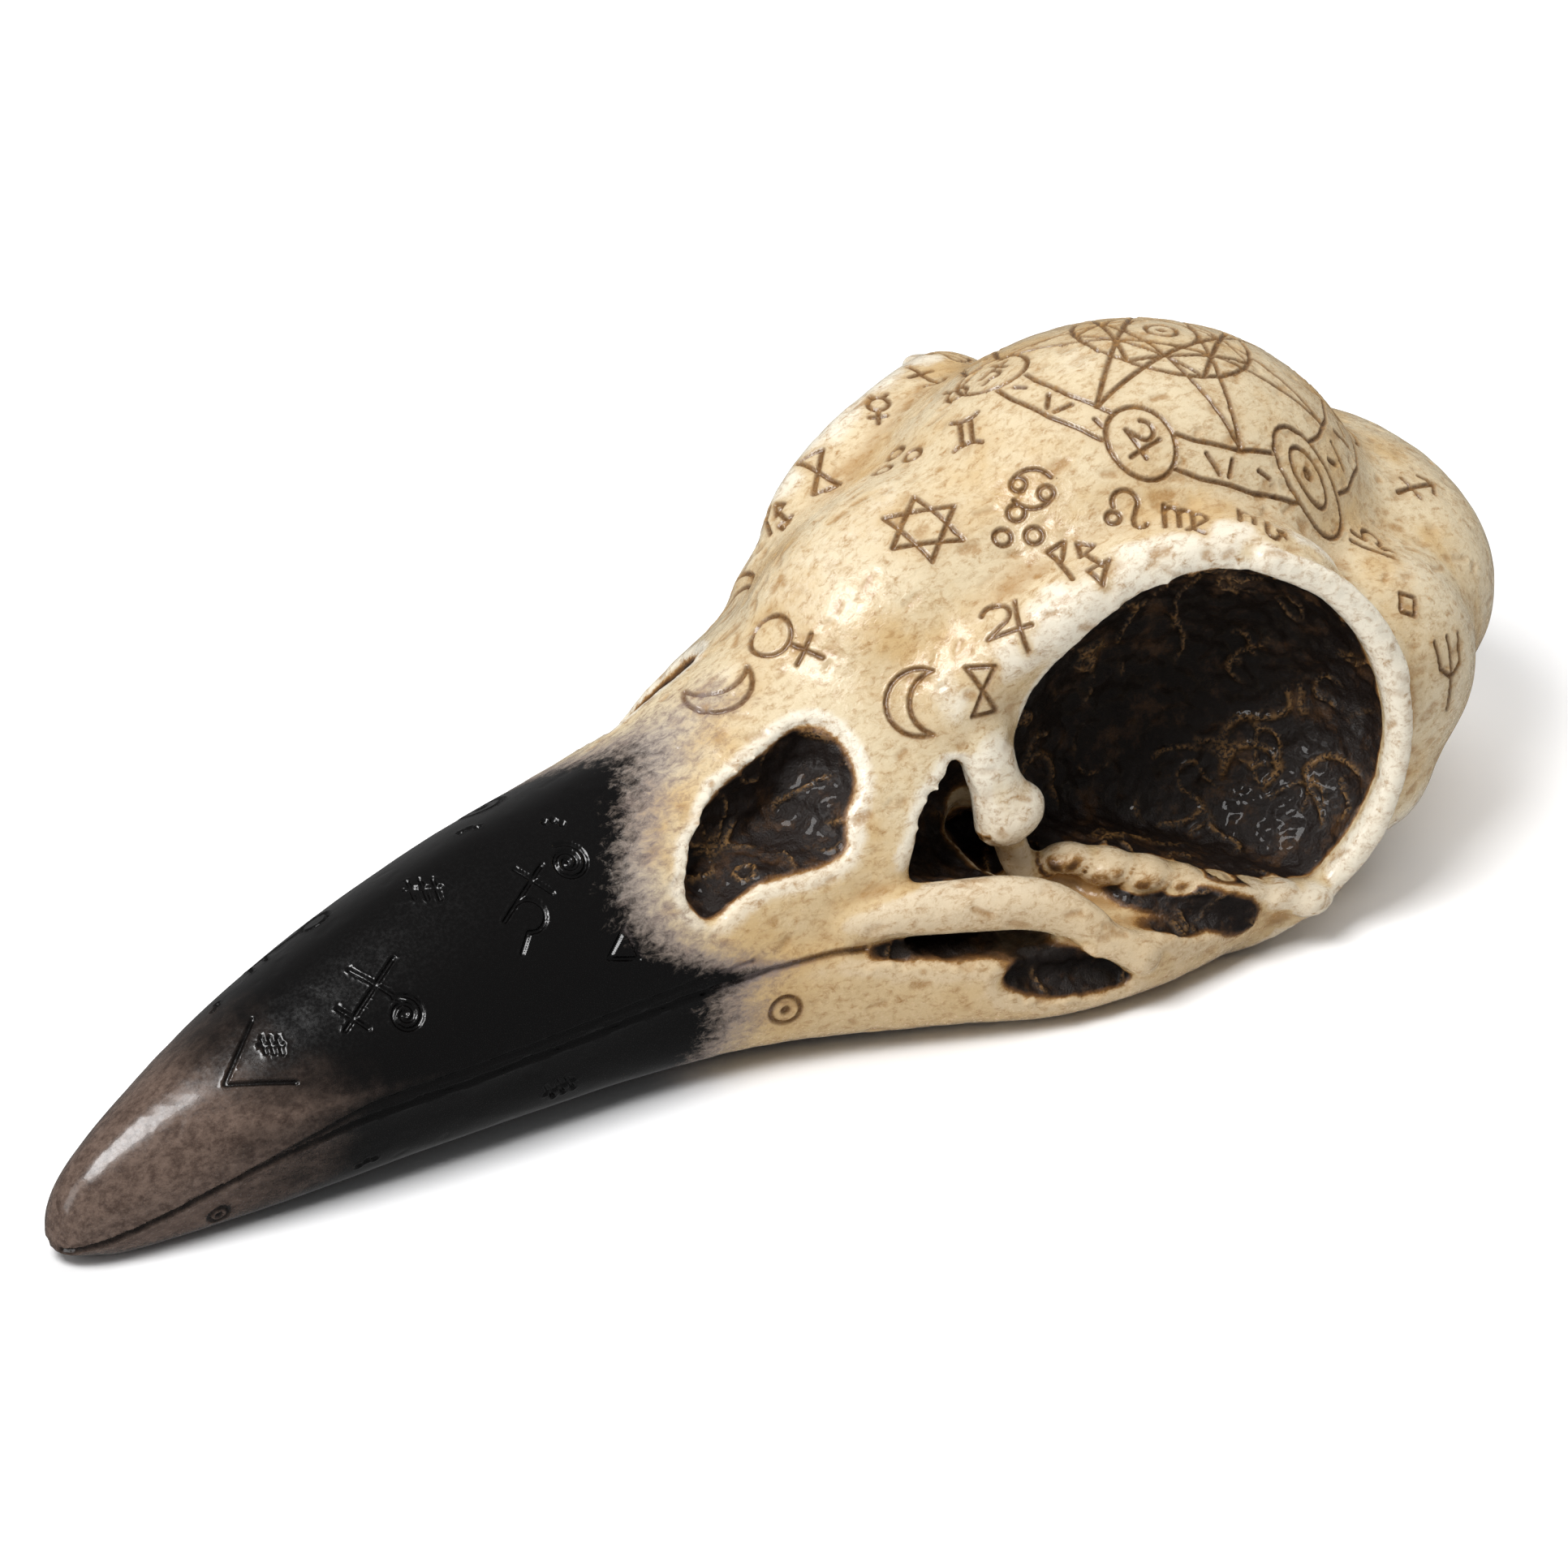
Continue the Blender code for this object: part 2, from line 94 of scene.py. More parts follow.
def smooth_curve(knots):
    """A smooth function through (x, value) knots that never overshoots between two of them."""
    xs = [k[0] for k in knots]
    ys = [k[1] for k in knots]
    steps = [(ys[i + 1] - ys[i]) / (xs[i + 1] - xs[i]) for i in range(len(xs) - 1)]
    slopes = [steps[0]]
    for before, after in zip(steps, steps[1:]):
        same_way = before * after > 0
        slopes.append(2 * before * after / (before + after) if same_way else 0.0)
    slopes.append(steps[-1])

    def value(x):
        if x <= xs[0]:
            return ys[0]
        if x >= xs[-1]:
            return ys[-1]
        i = max(n for n in range(len(xs) - 1) if xs[n] <= x)
        width = xs[i + 1] - xs[i]
        t = (x - xs[i]) / width
        return (
            ys[i] * (1 + 2 * t) * (1 - t) ** 2
            + ys[i + 1] * (3 - 2 * t) * t * t
            + width * (slopes[i] * t * (1 - t) ** 2 - slopes[i + 1] * (1 - t) * t * t)
        )

    return value


# Outlines of the bill, each against the distance from its tip
culmen_height = smooth_curve(
    (
        (-4.6, 3.5), (-3.6, 8), (-1, 11.5), (5, 15.3), (14, 19.4), (31, 25.7), (47, 31), (60, 33.9),
        (72, 35.2), (80, 36), (87, 37.4), (93, 39.8), (99, 41.9), (105, 44.4), (BILL_ROOT, 48),
        (120, 52),
    )
)
gape_height = smooth_curve(
    (
        (-4.6, 2.2), (6, 5.5), (20, 9.8), (33, 12.2), (55, 13.0), (77, 14.3), (92, 15.2), (101, 14.5),
        (112, 12.6), (126, 10.8), (150, 9.5),
    )
)
gape_half_width = smooth_curve(
    (
        (-4.6, 0.8), (-3, 3.6), (2, 6.2), (13, 9.6), (26, 12.9), (40, 15.4), (55, 17.2), (70, 19),
        (85, 21.2), (100, 24.6), (112, 27.5), (120, 28),
    )
)
jaw_half_width = smooth_curve(
    (
        (-3, 1.0), (3, 5.0), (13, 8.3), (26, 11.6), (40, 14.3), (55, 16.2), (70, 18.2), (85, 21.8),
        (97, 27), (110, 33.4), (122, 38.5), (134, 40.3), (152, 39),
    )
)
jaw_bottom = smooth_curve(
    (
        (-3, 1.5), (2, -0.6), (24, -0.8), (45, -0.1), (90, 0.3), (110, -0.6), (121, -1.8), (152, -1.8),
    )
)


def add_shell(form, rings):
    """Adds one closed shell to a form: rings of points joined in order, the first and the last filled."""
    loops = [[form.verts.new(Vector(p) * MM) for p in ring] for ring in rings]
    for a, b in zip(loops, loops[1:]):
        for i in range(len(a)):
            j = (i + 1) % len(a)
            form.faces.new((a[i], a[j], b[j], b[i]))
    form.faces.new(loops[0])
    form.faces.new(loops[-1])


def add_ellipsoid(form, centre, radii, turn=0.0, tilt=0.0):
    """Adds an ellipsoid. turn is about Z and tilt about its own Y, both in degrees."""
    place = (
        Matrix.Translation(Vector(centre) * MM)
        @ Matrix.Rotation(math.radians(turn), 4, "Z")
        @ Matrix.Rotation(math.radians(tilt), 4, "Y")
        @ Matrix.Diagonal((*[r * MM for r in radii], 1.0))
    )
    bmesh.ops.create_icosphere(form, subdivisions=4, radius=1.0, matrix=place)


def spline(points, per_span=8):
    """Points along a Catmull-Rom curve through the given points, whatever number of values each has."""
    padded = [points[0], *points, points[-1]]
    out = []
    for i in range(1, len(padded) - 2):
        p0, p1, p2, p3 = padded[i - 1 : i + 3]
        for k in range(per_span):
            t = k / per_span
            out.append(
                tuple(
                    b + 0.5 * ((c - a) * t + (2 * a - 5 * b + 4 * c - d) * t**2 + (3 * b - a - 3 * c + d) * t**3)
                    for a, b, c, d in zip(p0, p1, p2, p3)
                )
            )
    out.append(tuple(points[-1]))
    return out


def add_rod(form, stations, flat=1.0, around=16, lie=(0, 0, 1)):
    """Adds a round-ended rod through (x, y, z, radius) stations.

    flat is how much wider it is across lie than along it; lie is never along the rod.
    """
    path = spline(stations)
    centres = [Vector(p[:3]) for p in path]
    radii = [p[3] for p in path]
    end = len(path) - 1
    heading = [(centres[min(i + 1, end)] - centres[max(i - 1, 0)]).normalized() for i in range(len(path))]
    rings = []
    caps = 5
    for i in range(-caps, len(path) + caps):
        n = min(max(i, 0), end)
        beyond = max(-0.98, min(0.98, (i - n) / caps))
        centre = centres[n] + heading[n] * radii[n] * math.sin(beyond * math.pi / 2)
        radius = radii[n] * math.cos(beyond * math.pi / 2)
        side = heading[n].cross(Vector(lie)).normalized()
        up = side.cross(heading[n])
        rings.append(
            [
                centre + side * radius * flat * math.cos(a) + up * radius * math.sin(a)
                for a in (2 * math.pi * k / around for k in range(around))
            ]
        )
    add_shell(form, rings)


def mirrored(point, side):
    """A point given for the skull's left, -Y, moved to the side asked for."""
    return (point[0], -point[1] * side, *point[2:])


def new_form():
    return bmesh.new()


def object_of(form, name):
    bmesh.ops.recalc_face_normals(form, faces=form.faces)
    mesh = bpy.data.meshes.new(name)
    form.to_mesh(mesh)
    form.free()
    obj = bpy.data.objects.new(name, mesh)
    bpy.context.scene.collection.objects.link(obj)
    return obj


def apply_modifiers(obj):
    """Replaces the object's mesh with what its modifiers make of it."""
    graph = bpy.context.evaluated_depsgraph_get()
    made = bpy.data.meshes.new_from_object(obj.evaluated_get(graph))
    obj.modifiers.clear()
    obj.data = made
    return obj


def fuse(obj, voxel, rounding):
    """Fuses an object's shells into one skin and rounds its edges over about rounding millimetres."""
    remesh = obj.modifiers.new("fuse", "REMESH")
    remesh.mode = "VOXEL"
    remesh.voxel_size = voxel * MM
    smooth = obj.modifiers.new("round", "SMOOTH")
    smooth.factor = 0.5
    smooth.iterations = max(1, round(3 * (rounding / voxel) ** 2))
    return apply_modifiers(obj)


def carve(obj, cutter, solver="EXACT", operation="DIFFERENCE"):
    """Cuts a closed solid out of an object, or keeps only what is inside it, and removes the cutter."""
    cut = obj.modifiers.new("carve", "BOOLEAN")
    cut.operation = operation
    cut.solver = solver
    cut.object = cutter
    apply_modifiers(obj)
    bpy.data.objects.remove(cutter)
    return obj


def join(obj, other):
    """Moves another object's shells into this one."""
    form = bmesh.new()
    form.from_mesh(obj.data)
    form.from_mesh(other.data)
    form.to_mesh(obj.data)
    form.free()
    bpy.data.objects.remove(other)
    return obj


def steps(low, high, count):
    return [low + (high - low) * i / (count - 1) for i in range(count)]


def bill_rings(around=40):
    """Sections of the upper bill: a narrow arch above the gape, nearly flat below it."""
    rings = []
    for x in [-4.6, -4.2, -3.5, -2.5, -1, 0.5, 2.5, 5, *steps(8, 120, 40)]:
        half, top, base = gape_half_width(x), culmen_height(x), gape_height(x)
        ring = []
        for k in range(around):
            a = 2 * math.pi * k / around
            y = half * math.copysign(abs(math.cos(a)) ** 1.35, math.cos(a))
            rise = math.sin(a)
            z = base + ((top - base) * rise**0.95 if rise > 0 else 2.0 * rise)
            ring.append((x, y, z))
        rings.append(ring)
    return rings


def jaw_rings(around=36):
    """Sections of the lower jaw: a rounded keel under the bill, squarer further back."""
    rings = []
    for x in [-3, -2, -0.5, 3, *steps(6, 152, 48)]:
        half, top, base = jaw_half_width(x), gape_height(x) - 0.4, jaw_bottom(x)
        square = min(1, max(0, (x - 40) / 60))
        ring = []
        for k in range(around):
            a = 2 * math.pi * k / around
            y = half * math.copysign(abs(math.cos(a)) ** (0.7 - 0.3 * square), math.cos(a))
            rise = math.sin(a)
            z = top + (1.4 * rise if rise > 0 else (top - base) * -abs(rise) ** (0.8 - 0.3 * square))
            ring.append((x, y, z))
        rings.append(ring)
    return rings


def orbit_frame(side):
    """Centre, outward normal, rearward axis and upward axis of one orbit's rim."""
    turn, tilt = math.radians(ORBIT_TURN), math.radians(ORBIT_TILT)
    out = Vector((-math.sin(turn) * math.cos(tilt), -math.cos(turn) * math.cos(tilt), math.sin(tilt)))
    back = Vector((math.cos(turn), -math.sin(turn), 0))
    up = out.cross(back) * -1
    return [Vector(mirrored(tuple(v), side)) for v in (Vector(ORBIT_CENTRE), out, back, up)]


def orbit_point(side, angle, radius, depth=0.0):
    """A point round an orbit's rim. Angle 0 is its rear, 90 degrees its top; depth is into the skull."""
    centre, out, back, up = orbit_frame(side)
    a = math.radians(angle)
    return centre + (back * math.cos(a) + up * math.sin(a)) * radius - out * depth


def add_orbit_housing(form, side, around=48):
    """Adds the drum of bone that carries an orbit's rim, sunk into the side of the cranium."""
    rings = []
    for depth, radius in ((-0.5, 25), (2, 26), (5, 26.2), (9, 25.7), (14, 23), (20, 16)):
        ring = []
        for k in range(around):
            angle = 360 * k / around
            point = orbit_point(side, angle, radius, depth)
            point.z = max(point.z, 4.0)
            ring.append(point)
        rings.append(ring)
    add_shell(form, rings)


def add_prism(form, outline, y_outer, y_inner, side, shrink=0.0):
    """Adds a prism along Y whose outline is a smooth closed curve through (x, z) points.

    Its inner end is drawn in by shrink of its size.
    """
    n = len(outline)
    closed = [outline[(i - 1) % n] for i in range(n + 3)]
    path = spline(closed, 6)[6:-7]
    cx = sum(p[0] for p in outline) / n
    cz = sum(p[1] for p in outline) / n
    rings = []
    for t in steps(0, 1, 7):
        k = 1 - shrink * t**4
        y = y_outer + (y_inner - y_outer) * t
        rings.append([(cx + (x - cx) * k, -y * side, cz + (z - cz) * k) for x, z in path])
    add_shell(form, rings)


def add_orbit_rim(form, side):
    """Adds the raised rim of an orbit, an arc that is open at its lower front."""
    stations = []
    for angle in range(-70, 171, 20):
        fade = 1 if -50 < angle else 0.9
        point = orbit_point(side, angle, ORBIT_RADIUS + RIM_THICKNESS * 0.8)
        stations.append((*point, RIM_THICKNESS * fade))
    add_rod(form, stations, lie=orbit_frame(side)[1])


def orbit_floor(x):
    """Height of the rough floor that crosses each orbit's lower front."""
    return 20.5 - 0.36 * (x - 121)


def add_ramp(form, side, route, flat=1.0, lie=(0, 0, 1)):
    """Adds a rod whose route is given for the left of the skull."""
    add_rod(form, [mirrored(p, side) for p in route], flat, lie=lie)


def brain_case():
    """The cranium and brows, rounded into one another."""
    form = new_form()
    add_ellipsoid(form, (157.5, 0, 34), (38, 29, 32))
    add_ellipsoid(form, (186.5, 0, 25.5), (26, 30.5, 19))
    add_ellipsoid(form, (132, 0, 36), (30, 19.5, 21.5))
    add_ellipsoid(form, (168, 0, 20), (36, 28, 15))
    for side in SIDES:
        add_ellipsoid(form, (173.5, 25.3 * side, 25.5), (20, 15, 17))
        add_ellipsoid(form, (172, 29 * side, 12.5), (13, 9.5, 7.8))
        add_ellipsoid(form, (163, 27.5 * side, 27), (17, 12, 17))
        add_ramp(form, side, BROW)
        add_orbit_housing(form, side)
    return fuse(object_of(form, "brain_case"), BODY_VOXEL, 3.6)


def body():
    """The cranium, face and both jaws before anything is hollowed out."""
    form = new_form()
    add_ellipsoid(form, (124, 0, 26), (50, 14, 13))
    for side in SIDES:
        add_ellipsoid(form, (120.5, 14.5 * side, 37), (8.5, 8, 8.5))
        add_ellipsoid(form, (148, 34 * side, 8.5), (9, 6, 8))
    add_shell(form, bill_rings())
    add_shell(form, jaw_rings())
    return fuse(join(object_of(form, "body"), brain_case()), BODY_VOXEL, 1.8)


BROW = (
    (113, -12, 34, 4.5), (119, -16, 38, 4.5), (125.4, -20.6, 44.6, 4.5), (135, -23.2, 49.4, 4.5),
    (146, -25.6, 51.2, 4.5), (156, -29, 50.3, 4.5), (163, -31.3, 45.5, 4.5),
)
NARIS_OUTLINE = (
    (105.6, 40.3), (105.6, 36.8), (103.9, 32.2), (100.6, 29.2), (99.3, 26), (94.7, 24.6), (88, 24.3),
    (82.6, 22.9), (78.7, 21.4), (76.1, 24.4), (79.5, 30), (86, 34.9), (91.6, 37.1), (97.6, 39.1),
    (102.2, 41),
)
ANTORBITAL_OUTLINE = (
    (116, 34.6), (112.4, 31.7), (109.2, 30.2), (107.2, 26.8), (104.9, 23.8), (101.6, 20.4), (108, 19.2),
    (116, 17.4), (124, 14.8), (130.5, 12.8), (132, 17), (126, 22), (119.6, 29),
)
SLOT = (
    (97, -22, 15, 0.9), (104.6, -24.5, 14.4, 1.5), (112, -28, 13.3, 1.5), (118.5, -31, 12.1, 1.3),
    (123.5, -34, 11, 0.8),
)
CHANNEL = (
    (112, -27, 24, 5.5), (121, -28, 20, 4.8), (128, -33, 15.6, 3.6), (134, -36.5, 12.2, 3.1),
    (140, -39.5, 9.9, 2.7), (146, -41.8, 7.4, 1.9),
)


def hollows():
    """What is hollowed out of the casting: orbits, nostrils, the face's openings and the gap under it."""
    form = new_form()
    for side in SIDES:
        centre, out, back, up = orbit_frame(side)
        place = (
            Matrix.Translation(centre * MM)
            @ Matrix((back, up, out)).transposed().to_4x4()
            @ Matrix.Diagonal((ORBIT_RADIUS * MM, ORBIT_RADIUS * MM, ORBIT_DEPTH * MM, 1.0))
        )
        for vert in bmesh.ops.create_icosphere(form, subdivisions=4, radius=1.0, matrix=place)["verts"]:
            vert.co.z = max(vert.co.z, orbit_floor(vert.co.x / MM) * MM)
        add_prism(form, NARIS_OUTLINE, -40, -9, side, 0.3)
        add_prism(form, ANTORBITAL_OUTLINE, -45, -14, side, 0.3)
        add_ramp(form, side, CHANNEL)
        add_ramp(form, side, SLOT, flat=8)
        add_ellipsoid(form, (120, 38.5 * side, 7.3), (12, 5.4, 2.9), turn=13 * side, tilt=9)
        add_ellipsoid(form, (118, 21.5 * side, 24), (9, 8, 8))
    rings = []
    for x in (64, 72, 82, 94, 108, 122, 136, 150, 170):
        half = jaw_half_width(x) - JAW_WALL
        top = 9.5 - 4.5 * (x - 64) / 90
        arch = [(half, top - 3), (half - 3, top), (3 - half, top), (-half, top - 3)]
        rings.append([(x, y, z) for y, z in [(-half, -4), (half, -4), *arch]])
    add_shell(form, rings)
    return fuse(object_of(form, "hollows"), CUTTER_VOXEL, 0.5)


JUGAL = (
    (97, -22, 17.6, 3), (104, -25.5, 18, 3.1), (112, -28.6, 17.3, 3.4), (119, -31.8, 16.2, 3.3),
    (123.5, -34.8, 13.6, 2.8), (126.5, -37, 10.6, 2.3), (130, -38.5, 8, 2.6),
)
LACRIMAL = ((122, -17.5, 40, 3), (120.2, -21, 33, 2.8), (120.8, -22.6, 27.5, 2.8), (122, -23.4, 24, 3.8))
NASAL_BAR = (
    (110, -14, 35, 2.4), (109.3, -17, 32, 2.4), (106.3, -20.4, 25.4, 2.6), (101.8, -22.4, 17.3, 2.8),
)


def additions():
    """What stands proud of the hollows: rims, bars, tear bones and the rough floor of each orbit."""
    form = new_form()
    for side in SIDES:
        add_orbit_rim(form, side)
        add_ramp(form, side, JUGAL)
        add_ramp(form, side, LACRIMAL, flat=1.35, lie=(0, 1, 0))
        add_ramp(form, side, NASAL_BAR, lie=(0, 1, 0))
        for x in steps(129, 156, 8):
            y = 26 + 0.72 * (x - 129) - 0.008 * (x - 129) ** 2
            lump = 1.7 + 0.5 * math.sin(1.9 * x)
            radii = (lump + 1.6, lump + 1.2, lump)
            add_ellipsoid(form, (x, y * side, orbit_floor(x) - 1.3), radii, turn=30 * side)
    return object_of(form, "additions")


def tree_of(obj):
    """A search tree of the object's faces, in millimetres."""
    points = [v.co / MM for v in obj.data.vertices]
    return BVHTree.FromPolygons(points, [tuple(p.vertices) for p in obj.data.polygons])


def casting():
    """The ornament as one skin, with search trees of the uncarved body and of what stands in its hollows."""
    skull = body()
    body_tree = tree_of(skull)
    carve(skull, hollows())
    extra = additions()
    extra_tree = tree_of(extra)
    join(skull, extra)
    fuse(skull, FINE_VOXEL, 0.8)
    finer = skull.modifiers.new("finer", "SUBSURF")
    finer.levels = 1
    finer.render_levels = 1
    apply_modifiers(skull)
    return skull, body_tree, extra_tree


class Camera:
    """The photograph's camera, in the casting's millimetres."""

    def __init__(self):
        turn, rise = math.radians(CAMERA_AZIMUTH), math.radians(CAMERA_ELEVATION)
        level = math.cos(rise)
        self.back = Vector((math.sin(turn) * level, -math.cos(turn) * level, math.sin(rise)))
        self.right = Vector((math.cos(turn), math.sin(turn), 0))
        self.up = self.back.cross(self.right)
        depth = CAMERA_DISTANCE + Vector(MIDDLE_POINT).dot(self.back)
        across, down = self.slopes(TIP_PIXEL)
        self.place = (self.back - self.right * across + self.up * down) * depth

    def slopes(self, pixel):
        return (pixel[0] - IMAGE_SIZE[0] / 2) / FOCAL_PIXELS, (pixel[1] - IMAGE_SIZE[1] / 2) / FOCAL_PIXELS

    def ray(self, pixel):
        across, down = self.slopes(pixel)
        return (self.right * across - self.up * down - self.back).normalized()


CAMERA = Camera()


# Signs are strokes in a square of side 1 about the origin, x across and y up

def arc(cx, cy, radius, start, end):
    """Points along an arc, in degrees."""
    count = max(4, int(abs(end - start) / 15))
    angles = [math.radians(a) for a in steps(start, end, count + 1)]
    return [(cx + radius * math.cos(a), cy + radius * math.sin(a)) for a in angles]


def ring(cx, cy, radius):
    return arc(cx, cy, radius, 0, 360)


def star(points, skip, radius):
    """A star drawn in one go, from each point to the one skip places on."""
    corners = [90 + 360 * skip * k / points for k in range(points + 1)]
    return [(radius * math.cos(math.radians(a)), radius * math.sin(math.radians(a))) for a in corners]


SIGNS = {
    "sun": [ring(0, 0, 0.42), ring(0, 0, 0.07)],
    "moon": [arc(0.1, 0, 0.48, 70, 290) + arc(0.42, 0, 0.475, 252, 108)],
    "mercury": [
        ring(0, 0.08, 0.2), [(0, -0.12), (0, -0.5)], [(-0.16, -0.32), (0.16, -0.32)],
        arc(0, 0.45, 0.17, 200, 340),
    ],
    "venus": [ring(0, 0.18, 0.25), [(0, -0.07), (0, -0.5)], [(-0.18, -0.28), (0.18, -0.28)]],
    "mars": [
        ring(-0.1, -0.12, 0.27), [(0.09, 0.09), (0.42, 0.42)],
        [(0.14, 0.42), (0.42, 0.42), (0.42, 0.14)],
    ],
    "jupiter": [
        arc(-0.14, 0.2, 0.22, 160, -50) + [(-0.34, -0.16), (0.36, -0.16)],
        [(0.18, 0.4), (0.18, -0.45)],
    ],
    "saturn": [
        [(-0.12, 0.5), (-0.12, -0.25)], [(-0.32, 0.3), (0.12, 0.3)],
        arc(0.05, -0.05, 0.17, 170, -60) + [(0.2, -0.42)],
    ],
    "aries": [arc(-0.2, 0.2, 0.2, 210, 0) + [(0, -0.5)], arc(0.2, 0.2, 0.2, -30, 180)],
    "taurus": [ring(0, -0.16, 0.28), arc(0, 0.46, 0.34, 190, 350)],
    "gemini": [
        arc(0, 0.95, 0.55, 230, 310), arc(0, -0.95, 0.55, 50, 130), [(-0.14, 0.42), (-0.14, -0.42)],
        [(0.14, 0.42), (0.14, -0.42)],
    ],
    "cancer": [
        ring(-0.26, 0.1, 0.14), arc(0.0, -0.02, 0.42, 160, 35), ring(0.26, -0.1, 0.14),
        arc(0.0, 0.02, 0.42, -20, -145),
    ],
    "leo": [
        ring(-0.22, -0.16, 0.14),
        arc(0.02, 0.2, 0.26, 205, -25) + [(0.18, -0.2)] + arc(0.32, -0.28, 0.13, 160, 350),
    ],
    "virgo": [
        [(-0.42, 0.35), (-0.42, -0.3)], arc(-0.28, 0.2, 0.13, 180, 0) + [(-0.15, -0.3)],
        arc(-0.02, 0.2, 0.13, 180, 0) + [(0.11, -0.35), (0.3, -0.45)],
        arc(0.2, 0.05, 0.16, 130, -60) + [(0.0, -0.4)],
    ],
    "libra": [
        [(-0.45, -0.3), (0.45, -0.3)],
        [(-0.45, -0.05), (-0.16, -0.05)] + arc(0, 0.14, 0.2, 230, -50) + [(0.16, -0.05), (0.45, -0.05)],
    ],
    "scorpio": [
        [(-0.42, 0.35), (-0.42, -0.3)], arc(-0.28, 0.2, 0.13, 180, 0) + [(-0.15, -0.3)],
        arc(-0.02, 0.2, 0.13, 180, 0) + [(0.11, -0.3)] + arc(0.24, -0.3, 0.13, 180, 330)
        + [(0.44, -0.12)],
        [(0.34, -0.18), (0.45, -0.08), (0.5, -0.24)],
    ],
    "archer": [
        [(-0.38, -0.38), (0.4, 0.4)], [(0.08, 0.4), (0.4, 0.4), (0.4, 0.08)],
        [(-0.28, 0.08), (0.08, -0.28)],
    ],
    "capricorn": [
        [(-0.4, 0.35), (-0.22, -0.2), (-0.08, 0.3)] + [(0.02, -0.1)] + arc(0.2, -0.16, 0.18, 170, -170)
        + [(-0.1, -0.45)],
    ],
    "aquarius": [
        [(-0.45, 0.02), (-0.27, 0.2), (-0.09, 0.02), (0.09, 0.2), (0.27, 0.02), (0.45, 0.2)],
        [(-0.45, -0.25), (-0.27, -0.07), (-0.09, -0.25), (0.09, -0.07), (0.27, -0.25), (0.45, -0.07)],
    ],
    "pisces": [arc(-0.6, 0, 0.5, 50, -50), arc(0.6, 0, 0.5, 130, 230), [(-0.32, 0), (0.32, 0)]],
    "fire": [[(0, 0.42), (0.42, -0.32), (-0.42, -0.32), (0, 0.42)]],
    "water": [[(0, -0.42), (0.42, 0.32), (-0.42, 0.32), (0, -0.42)]],
    "air": [[(0, 0.42), (0.42, -0.32), (-0.42, -0.32), (0, 0.42)], [(-0.3, 0.02), (0.3, 0.02)]],
    "earth": [[(0, -0.42), (0.42, 0.32), (-0.42, 0.32), (0, -0.42)], [(-0.3, -0.02), (0.3, -0.02)]],
    "hourglass": [[(-0.25, 0.45), (0.25, 0.45), (-0.25, -0.45), (0.25, -0.45), (-0.25, 0.45)]],
    "square": [[(-0.3, 0.35), (0.3, 0.35), (0.3, -0.35), (-0.3, -0.35), (-0.3, 0.35)]],
    "three_rings": [ring(-0.26, -0.16, 0.15), ring(0.28, -0.12, 0.15), ring(-0.02, 0.3, 0.15)],
    "star": [star(5, 2, 0.48)],
    "six_star": [star(3, 1, 0.46), [(-x, -y) for x, y in star(3, 1, 0.46)]],
    "cross": [[(0, 0.45), (0, -0.45)], [(-0.3, 0.12), (0.3, 0.12)], [(-0.18, -0.3), (0.18, -0.3)]],
    "wedges": [
        [(-0.4, 0.35), (-0.16, 0.45), (-0.25, 0.15), (-0.4, 0.35)], [(-0.3, 0.2), (-0.12, -0.35)],
        [(0.0, 0.4), (0.22, 0.3), (0.02, 0.1), (0.0, 0.4)], [(0.08, 0.15), (0.3, -0.2)],
        [(0.1, -0.25), (0.4, -0.1), (0.25, -0.45), (0.1, -0.25)],
    ],
    "ticks": [
        [(-0.4, 0.3), (-0.2, -0.3)], [(-0.1, 0.3), (0.1, -0.3)], [(0.2, 0.3), (0.4, -0.3)],
        [(-0.45, 0.0), (0.4, 0.05)],
    ],
    "spiral": [
        [
            (0.03 * a * math.cos(a) * 0.9, 0.03 * a * math.sin(a) * 0.9)
            for a in (k * 0.4 for k in range(1, 38))
        ],
    ],
    "angle": [[(-0.1, 0.5), (-0.42, -0.4), (0.45, -0.32)]],
    "fork": [[(0, -0.5), (0, 0.5)], [(-0.3, 0.48), (-0.24, 0.1), (0, -0.05), (0.24, 0.1), (0.3, 0.48)]],
    "key": [
        ring(0, 0.32, 0.16), [(0, 0.16), (0, -0.5)], [(0, -0.28), (0.2, -0.28)],
        [(0, -0.46), (0.26, -0.46)],
    ],
    "dots": [ring(-0.3, 0, 0.05), ring(0, 0.1, 0.05), ring(0.3, 0, 0.05)],
}

